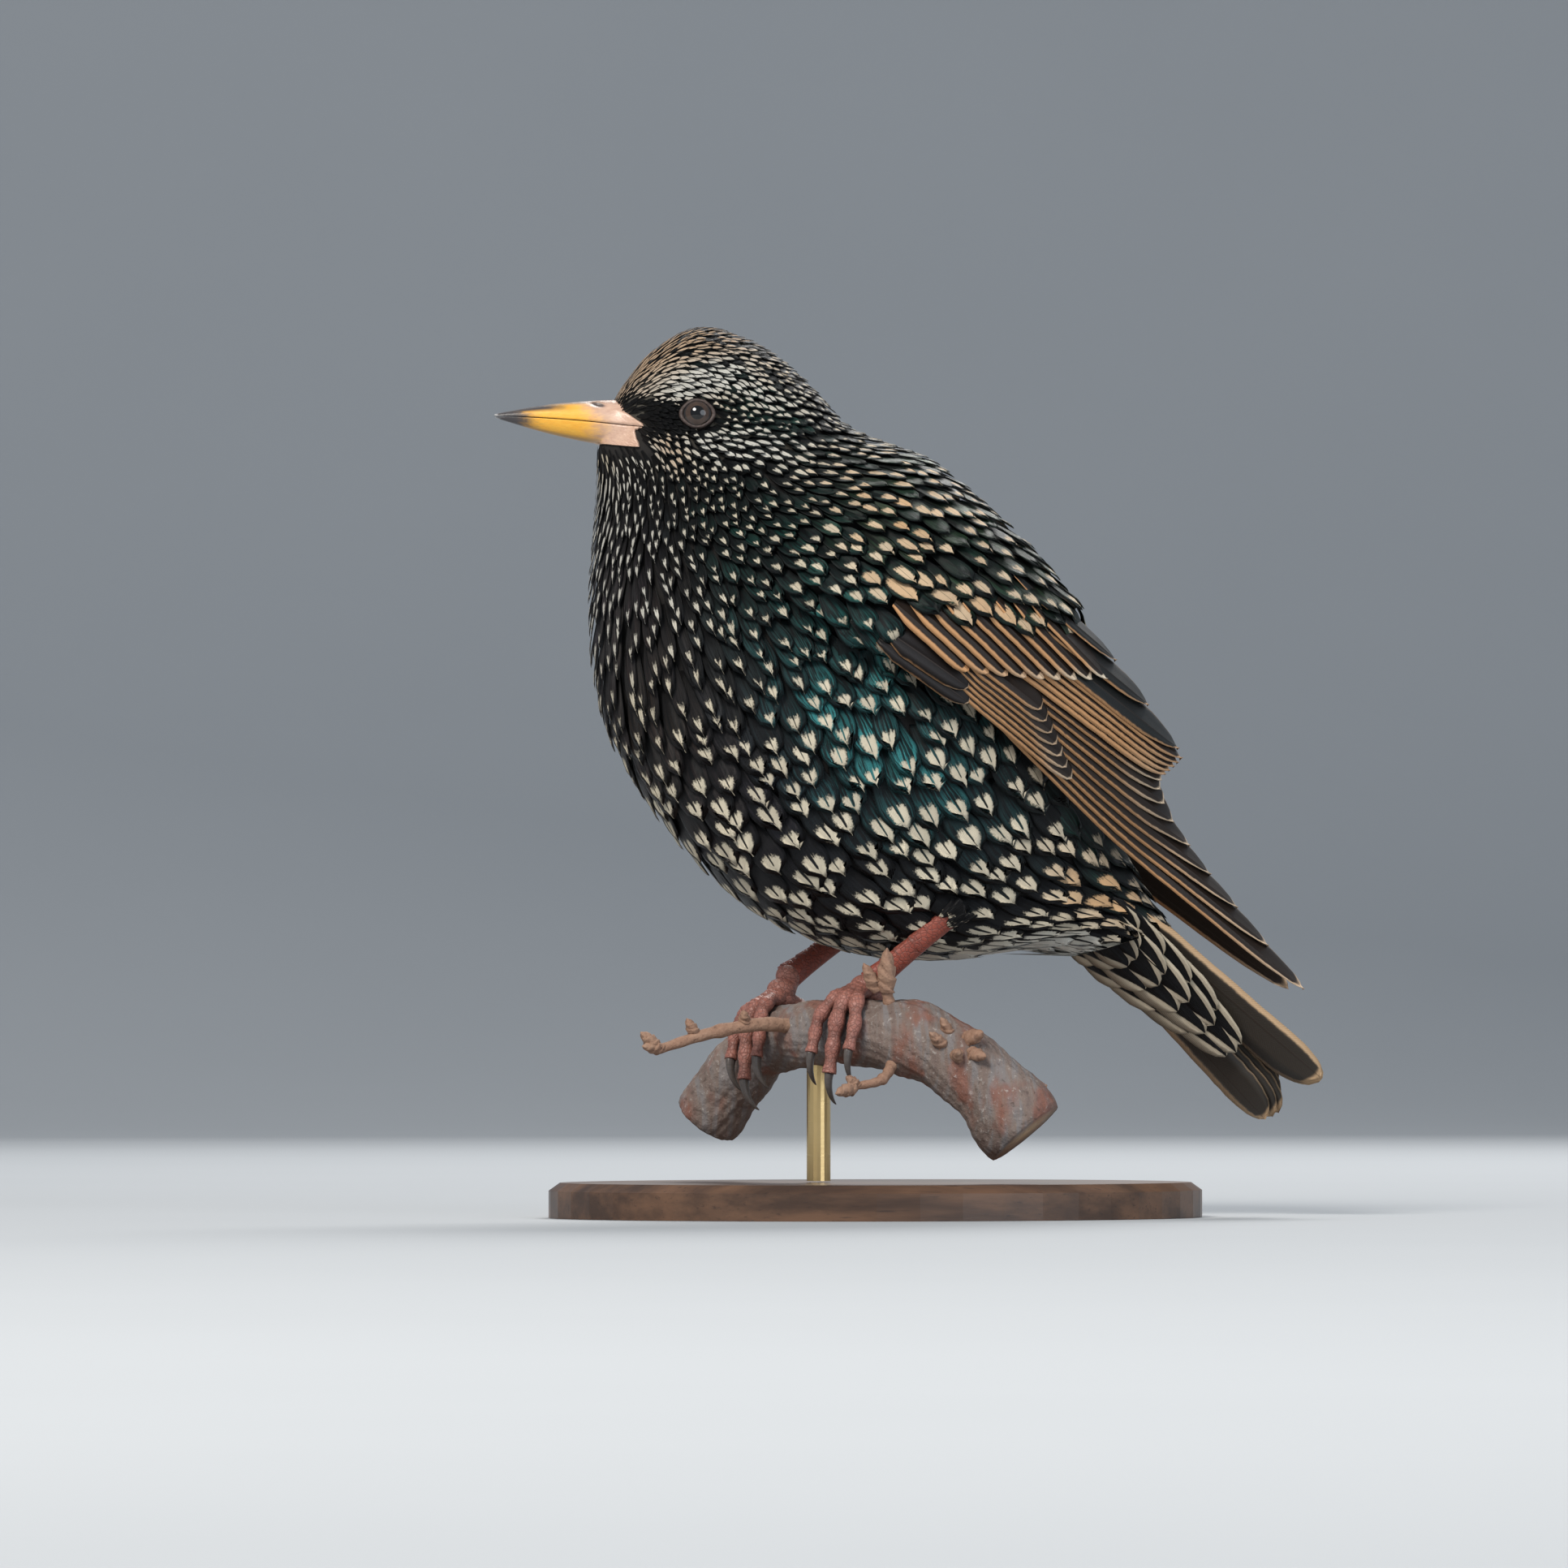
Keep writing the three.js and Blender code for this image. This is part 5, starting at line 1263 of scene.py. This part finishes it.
# Buds on the bark: share of the branch's length, turn round it, lean along it, length, thickness.
BARK_BUDS = (
    (0.79, 0.9, 0.5, 6.4, 1.6), (0.81, 0.6, 1.0, 6.0, 1.4), (0.77, 0.35, -0.8, 5.6, 1.3), (0.8, 0.3, 0.1, 5.4, 1.3),
    (0.765, 0.8, -0.9, 5.0, 1.2), (0.93, 2.4, 0.2, 5.0, 1.4), (0.06, 1.9, 0.1, 4.6, 1.3),
)
# Knots: share of the branch's length, turn round it, height, how far along.
KNOTS = ((0.79, 0.9, 0.5, 0.03), (0.66, 5.4, 0.4, 0.02))


def make_perch(material):
    """The branch: rings round its line whose radius is the swell plus ridges that run along it, and buds, twigs
    and lumps set into it."""
    t, w = np.linspace(0, 1, 260)[:, None], circle(120)
    centre, _, front, up = perch_frame(t[:, 0])
    ridges = 0.10 * np.sin(w * 9 + 5 * np.sin(t * 9)) + 0.07 * np.sin(w * 23 + t * 60)
    ridges = ridges + 0.06 * np.sin(t * 210 + 3 * np.sin(w * 2))
    knots = sum(high * np.exp(-(((t - at) / far) ** 2) - ((w - turn) / 0.5) ** 2) for at, turn, high, far in KNOTS)
    ends = 1 - 0.05 * (np.clip((0.012 - t) / 0.012, 0, 1) + np.clip((t - 0.988) / 0.012, 0, 1))
    radius = (perch_radius(t) + ridges - 0.12 + knots) * ends
    grid = spin(centre[:, None], front[:, None], up[:, None], w, radius)
    shell("branch", grid, material, "bark", ("perch",), bud=ended(0, grid), cut=ended(0, grid, 1, 1))
    s = np.linspace(0, 1, 60)
    grids = []
    for line, thick in TWIGS:
        radii = thick * (1.25 - 0.5 * s) * (1 + 0.05 * np.sin(s * 40)) + 0.25 * np.exp(-(((s - 0.55) / 0.04) ** 2))
        grids.append(tube(centripetal(line, len(s)), radii, 18, (0, 1, 0.1)))
    grids += [bud_grid(*bud) for bud in BUDS]
    for at, turn, lean, length, thick in BARK_BUDS:
        _, along, front, up = perch_frame(at)
        outward = front * np.cos(turn) + up * np.sin(turn) + along * lean
        grids.append(bud_grid(on_bark(at, turn, -1.6), outward, length, thick))
    points, quads, tris = merged(map(capped, grids))
    values = dict(bud=np.ones(len(points)), cut=np.zeros(len(points)))
    piece("twigs_and_buds", points, quads, tris, material, "bark", values=values)


FEET = dict(
    left=dict(along=0.555, ankle=(-3.0, -12.0, 47.2), heel=(18.6, -20.5, 66.2), hand=1),
    right=dict(along=0.285, ankle=(-15.5, 13.3, 48.3), heel=(8.6, 16.5, 65.6), hand=-1),
)
# Toes: name, length, wrap round the branch in degrees, spread, thickness, forward or back, pads.
TOES = [
    ("inner", 16.5, 72, 4.6, 1.55, 1, 3),
    ("middle", 21.5, 80, 0.3, 1.75, 1, 4),
    ("outer", 17.5, 74, -4.4, 1.55, 1, 4),
    ("hind", 12.5, 78, 0.4, 1.8, -1, 2),
]


def leg_finish():
    """Scaly brick-red skin: darker in the joints, pinkish grey on the toes."""
    f = Finish("leg_scales", Specular_IOR_Level=0.45)
    cloud = f.noise(f.place(), 260.0, 4.0)
    scales = f.node("ShaderNodeTexVoronoi", dict(feature="DISTANCE_TO_EDGE"), dict(Vector=f.place(), Scale=1100.0))
    joint = f.reading("joint")
    toe = f.reading("toe")
    base = f.mix(cloud, (0.14, 0.024, 0.016), (0.36, 0.085, 0.052))
    base = f.mix(toe * 0.65, base, f.mix(cloud, (0.20, 0.075, 0.058), (0.46, 0.24, 0.19)))
    base = f.mix(joint * 0.7, base, (0.10, 0.045, 0.035))
    cells = scales.step(0.0, 0.12)
    base = f.mix((1.0 - cells) * 0.5, base, (0.08, 0.035, 0.028))
    return f.out(Base_Color=base, Roughness=cloud * 0.15 + 0.42, Normal=f.relief(cells + cloud * 0.3, 0.45, 0.00025))


def claw_finish():
    """Dark horn with streaks."""
    f = Finish("claw_horn", Specular_IOR_Level=0.5)
    streak = f.streaks(900.0, 900.0, 2400.0, 3.0)
    return f.out(Base_Color=f.mix(streak, (0.035, 0.03, 0.028), (0.12, 0.10, 0.09)), Roughness=streak * 0.15 + 0.28)


def make_toe(which, horn, name, length, wrap, spread, thick, way, pads):
    """A toe and its claw. The toe is a tube whose middle line turns about the branch's own line at its reach, then
    runs straight on; the radius swells at the pads and the upper side carries shields as small steps."""
    foot = FEET[which]
    centre, along, front, up = perch_frame(foot["along"])
    wrap, reach = np.radians(wrap), perch_radius(foot["along"]) + thick * 0.82 + 0.25
    u = np.linspace(0, 1, 90)
    distance = 1.2 + (length - 1.2) * u
    arc = np.minimum(distance / reach, wrap)
    rest = distance - arc * reach
    aside = spread * foot["hand"] * np.minimum(1, distance / length * 1.6) ** 0.8
    line = centre + aside[:, None] * along + (way * (reach * np.sin(arc) + rest * np.cos(arc)))[:, None] * front
    line = line + (reach * np.cos(arc) - rest * np.sin(arc))[:, None] * up
    start = np.array(foot["ankle"]) - up
    lead = start + (line[0] - start) * np.linspace(0, 1, 12, endpoint=False)[:, None]
    path = np.concatenate([lead, line])
    smooth = np.stack([np.convolve(path[:, i], np.ones(5) / 5, "same") for i in range(3)], 1)
    path[4:-4] = smooth[4:-4]
    grow = np.concatenate([np.zeros(len(lead)), u])
    swell = np.cos(grow * np.pi * 2 * pads)
    grid = tube(path, thick * (1.06 - 0.3 * grow) * (1 + 0.12 * swell), 22, (0.5, 0.8, 0.1))
    off = grid - path[:, None]
    outer = path - centre - ((path - centre) @ along)[:, None] * along
    facing = (unit(off) * unit(outer)[:, None]).sum(-1)
    shields = (0.07 * ((grow * length / 1.15) % 1 - 0.5))[:, None] * np.clip(facing, 0, 1) * 1.6
    grid = path[:, None] + off * (1 + (shields - 0.1 * np.clip(-facing, 0, 1)))[..., None]
    heading = unit(line[-1] - line[-6])
    inward = -way * front
    bend = unit(inward - (inward @ heading) * heading)
    side = np.cross(heading, bend)
    c = np.linspace(0, 1, 40)
    radius = 7.2 / 1.25
    ahead, down = 0.1 + radius * np.sin(1.25 * c), radius * (1 - np.cos(1.25 * c))
    hook = line[-1] + ahead[:, None] * heading + down[:, None] * bend
    claw = tube(hook, 1.05 * (1 - c) ** 0.75 + 0.08, 20, (0.5, 0.8, 0.1))
    claw = claw - 0.28 * ((claw - hook[:, None]) @ side)[..., None] * side
    shell(f"claw_{which}_{name}_horn", claw, horn, "claw", (f"claw_{which}_{name}",))
    return capped(grid), ended((0.5 - 0.5 * swell)[:, None] ** 3 * 0.6, grid)


def make_foot(which, scales, horn, plumage):
    """The toes, and a ball at the ankle and one on the sole, as one piece, and then the leg over them."""
    foot = FEET[which]
    centre, _, _, up = perch_frame(foot["along"])
    ankle, heel = np.array(foot["ankle"]), np.array(foot["heel"])
    made = [make_toe(which, horn, *toe) for toe in TOES]
    turn, polar = circle(40)[None], np.linspace(0.06, np.pi - 0.06, 24)[:, None]
    ball = np.stack(np.broadcast_arrays(np.sin(polar) * np.cos(turn), np.sin(polar) * np.sin(turn), np.cos(polar)), -1)
    sole = centre + up * (perch_radius(foot["along"]) + 1.9)
    for at, size in ((ankle, (2.6, 2.6, 2.6)), (sole + (ankle - sole) * 0.35, (3.0, 2.7, 2.4))):
        body = capped(at + ball * np.array(size))
        made.append((body, np.full(len(body[0]), 0.15)))
    bodies, joints = zip(*made)
    points, quads, tris = merged(bodies)
    values = dict(joint=np.concatenate(joints), toe=np.ones(len(points)))
    piece(f"toes_{which}", points, quads, tris, scales, "leg_skin", (f"foot_{which}",), values=values)
    make_leg(which, ankle, heel, scales, plumage)


def make_leg(which, ankle, heel, scales, plumage):
    """The bare leg: oval rings up from the ankle, with shields as small steps down its front, and short dark
    feathers that lie down over its top."""
    u = np.linspace(-0.02, 0.7, 150)[:, None]
    path = ankle + (heel - ankle) * u
    swell = 1 + 0.3 * np.clip(1 - u, 0, 1) ** 6 + 0.22 * np.clip(u, 0, 1) ** 5
    axis = unit(heel - ankle)
    side = unit(np.cross(axis, [1.0, 0, 0]))
    fore = np.cross(axis, side)
    w, shield = circle(48), (u * 8) % 1
    step = (1 - shield) * 0.2
    face = np.clip(-np.sin(w) * np.sign(fore[0]), 0, 1)
    grid = spin(path[:, None], side, fore, w, 1.6 * swell + step * 0.3, 2.15 * swell + step * face)
    groove = ended(np.clip(1 - np.abs(shield - 0.04) / 0.1, 0, 1) * face, grid)
    shell(f"tarsus_{which}", grid, scales, "leg_skin", (f"leg_{which}",), joint=groove, toe=ended(0, grid))
    count = 40
    rng = np.random.default_rng(6)
    root, turn = rng.uniform(-4.5, -1.5, count), circle(count) * 2.62 % (2 * np.pi)
    rows = columns(root, turn, root + rng.uniform(2.5, 4.5, count), turn, 0.6, 1.1, 0.1, 0.1, 0, 0.5)
    bare = ankle + (heel - ankle) * 0.68

    def on_leg(a, b, aside, lift):
        out = 1.9 + 0.3 * np.clip(2 - a, 0, 9) ** 0.8 + lift
        return spin(bare - a[..., None] * axis, side, fore, b + aside / 2.6, out * 0.85, out)

    values = dict(dark=BLACK * 1.5 * rng.uniform(0.7, 1.6, (count, 1)), light=np.tile(CREAM, (count, 1)))
    values["mark"] = np.tile([0.8, 0.5, 0.0], (count, 1))
    long_piece(f"leg_feathers_{which}", rows, on_leg, 10, 8, plumage, "plumage", values, (1, 0))


def brass_finish():
    """Satin brass with fine turning marks round it."""
    f = Finish("brass_satin", Metallic=1.0)
    turning = f.streaks(60.0, 60.0, 2600.0, 2.0)
    stain = f.noise(f.place(), 140.0)
    colour = f.mix(stain, (0.62, 0.43, 0.19), (0.74, 0.55, 0.27))
    return f.out(Base_Color=colour, Roughness=turning * 0.18 + 0.22, Normal=f.relief(turning, 0.15, 0.0001))


def wood_finish():
    """Dark varnished wood with its grain along x."""
    f = Finish("wood_dark", Specular_IOR_Level=0.45, Coat_Weight=0.25, Coat_Roughness=0.25)
    rings = f.streaks(14.0, 130.0, 130.0, 5.0, 0.6)
    pores = f.streaks(90.0, 1600.0, 1600.0, 2.0)
    colour = f.mix(rings.step(0.35, 0.65), (0.045, 0.022, 0.012), (0.13, 0.065, 0.034))
    colour = f.mix(pores.step(0.6, 0.75) * 0.6, colour, (0.02, 0.01, 0.006))
    return f.out(Base_Color=colour, Roughness=rings * 0.12 + 0.36, Normal=f.relief(pores, 0.2, 0.0001))


def plain_finish(name, colour, rough):
    """A plain colour with a faint cloud in it."""
    f = Finish(name, Specular_IOR_Level=0.2)
    cloud = f.noise(f.place(), 6.0)
    return f.out(Base_Color=f.mix(cloud * 0.25, colour, (0.50, 0.52, 0.54)), Roughness=rough)


def make_stage():
    """A pale floor that curves up into a backdrop far behind: at y, z = floor, then a quarter turn, then a wall."""
    x = np.linspace(-3000, 3000, 25)
    bend = np.linspace(0, np.pi / 2, 20)
    y = np.concatenate([[-2600], np.linspace(-2000, 1800, 8), 1800 + 900 * np.sin(bend), [2700]])
    z = np.concatenate([[0], np.zeros(8), 900 - 900 * np.cos(bend), [3200]])
    grid = np.stack(np.broadcast_arrays(x[:, None], y[None], z[None] - 0.05), -1)
    n, m = grid.shape[:2]
    quads = wrap_faces(n, m, False)
    mesh = bpy.data.meshes.new("floor")
    mesh.from_pydata((grid.reshape(-1, 3) * MM).tolist(), [], quads[:, ::-1].tolist())
    mesh.polygons.foreach_set("use_smooth", np.ones(len(quads), bool))
    mesh.materials.append(plain_finish("backdrop", (0.42, 0.44, 0.46), 0.85))
    floor = bpy.data.objects.new("floor", mesh)
    bpy.context.scene.collection.objects.link(floor)


def add_light(name, place, aim, size, power, colour):
    """A round soft light, turned to what it aims at."""
    data = bpy.data.lights.new(name, "AREA")
    data.shape, data.size, data.energy, data.color = "DISK", size, power, colour
    lamp = bpy.data.objects.new(name, data)
    lamp.location = place
    lamp.rotation_euler = (Vector(aim) - Vector(place)).to_track_quat("-Z", "Y").to_euler()
    bpy.context.scene.collection.objects.link(lamp)


# The camera, in metres and degrees: what it looks at, from how far, how far round and how far up, and its lens.
CAMERA_AIM, CAMERA_FAR, CAMERA_ROUND, CAMERA_UP, CAMERA_LENS = (-0.0182, 0.0032, 0.0868), 2.0, -10, -1.5, 229.0


def set_camera():
    """The photograph's angle: ten degrees round from the side and a little from below, but over the floor."""
    a, e = np.radians(CAMERA_ROUND), np.radians(CAMERA_UP)
    back = Vector((np.sin(a) * np.cos(e), -np.cos(a) * np.cos(e), np.sin(e)))
    data = bpy.data.cameras.new("camera")
    data.lens, data.sensor_width = CAMERA_LENS, 36.0
    data.clip_start, data.clip_end = 0.05, 20.0
    camera = bpy.data.objects.new("camera", data)
    camera.location = Vector(CAMERA_AIM) + back * CAMERA_FAR
    camera.rotation_euler = (-back).to_track_quat("-Z", "Y").to_euler()
    bpy.context.scene.collection.objects.link(camera)
    bpy.context.scene.camera = camera
    bpy.context.scene.view_settings.view_transform = "Standard"


def set_light():
    """A pale sky all round, a warm key light, a cool fill and a rim light from behind."""
    world = bpy.data.worlds.new("studio")
    bpy.context.scene.world = world
    world.use_nodes = True
    world.node_tree.nodes["Background"].inputs[0].default_value = (0.72, 0.80, 0.90, 1)
    world.node_tree.nodes["Background"].inputs[1].default_value = 0.45
    aim = (0, 0, 0.1)
    add_light("key", (-0.9, -1.2, 1.3), aim, 0.7, 34, (1.0, 0.95, 0.88))
    add_light("fill", (0.9, -1.4, 0.5), aim, 1.2, 9, (0.85, 0.92, 1.0))
    add_light("rim", (0.5, 1.1, 1.2), aim, 0.8, 20, (1.0, 0.98, 0.95))


plumage = plumage_finish()
skin = skin_finish()
make_skin(skin)
make_coat(plumage)
quill = quill_finish("feather_quill", (0.022, 0.016, 0.013), (0.55, 0.29, 0.13), 0.03, 0.42)
tail_quill = quill_finish("feather_tail", (0.03, 0.025, 0.02), (0.50, 0.34, 0.20), 0.025, 0.5)
horn, wet, lid, scales, claw = bill_finish(), eye_finish(), lid_finish(), leg_finish(), claw_finish()
for side, name in ((-1, "left"), (1, "right")):
    make_wing(side, name, quill)
    make_wing_pad(side, name, skin)
make_tail(tail_quill, plumage, skin)
make_bill(True, horn)
make_bill(False, horn)
for side, name in ((-1, "left"), (1, "right")):
    make_eye(side, name, wet, lid)
for name in FEET:
    make_foot(name, scales, claw, plumage)
make_perch(bark_finish())
for node, finish in (("stand_rod", brass_finish()), ("stand_base", wood_finish())):
    for material_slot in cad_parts[node].material_slots:
        material_slot.material = finish
make_stage()
set_light()
set_camera()
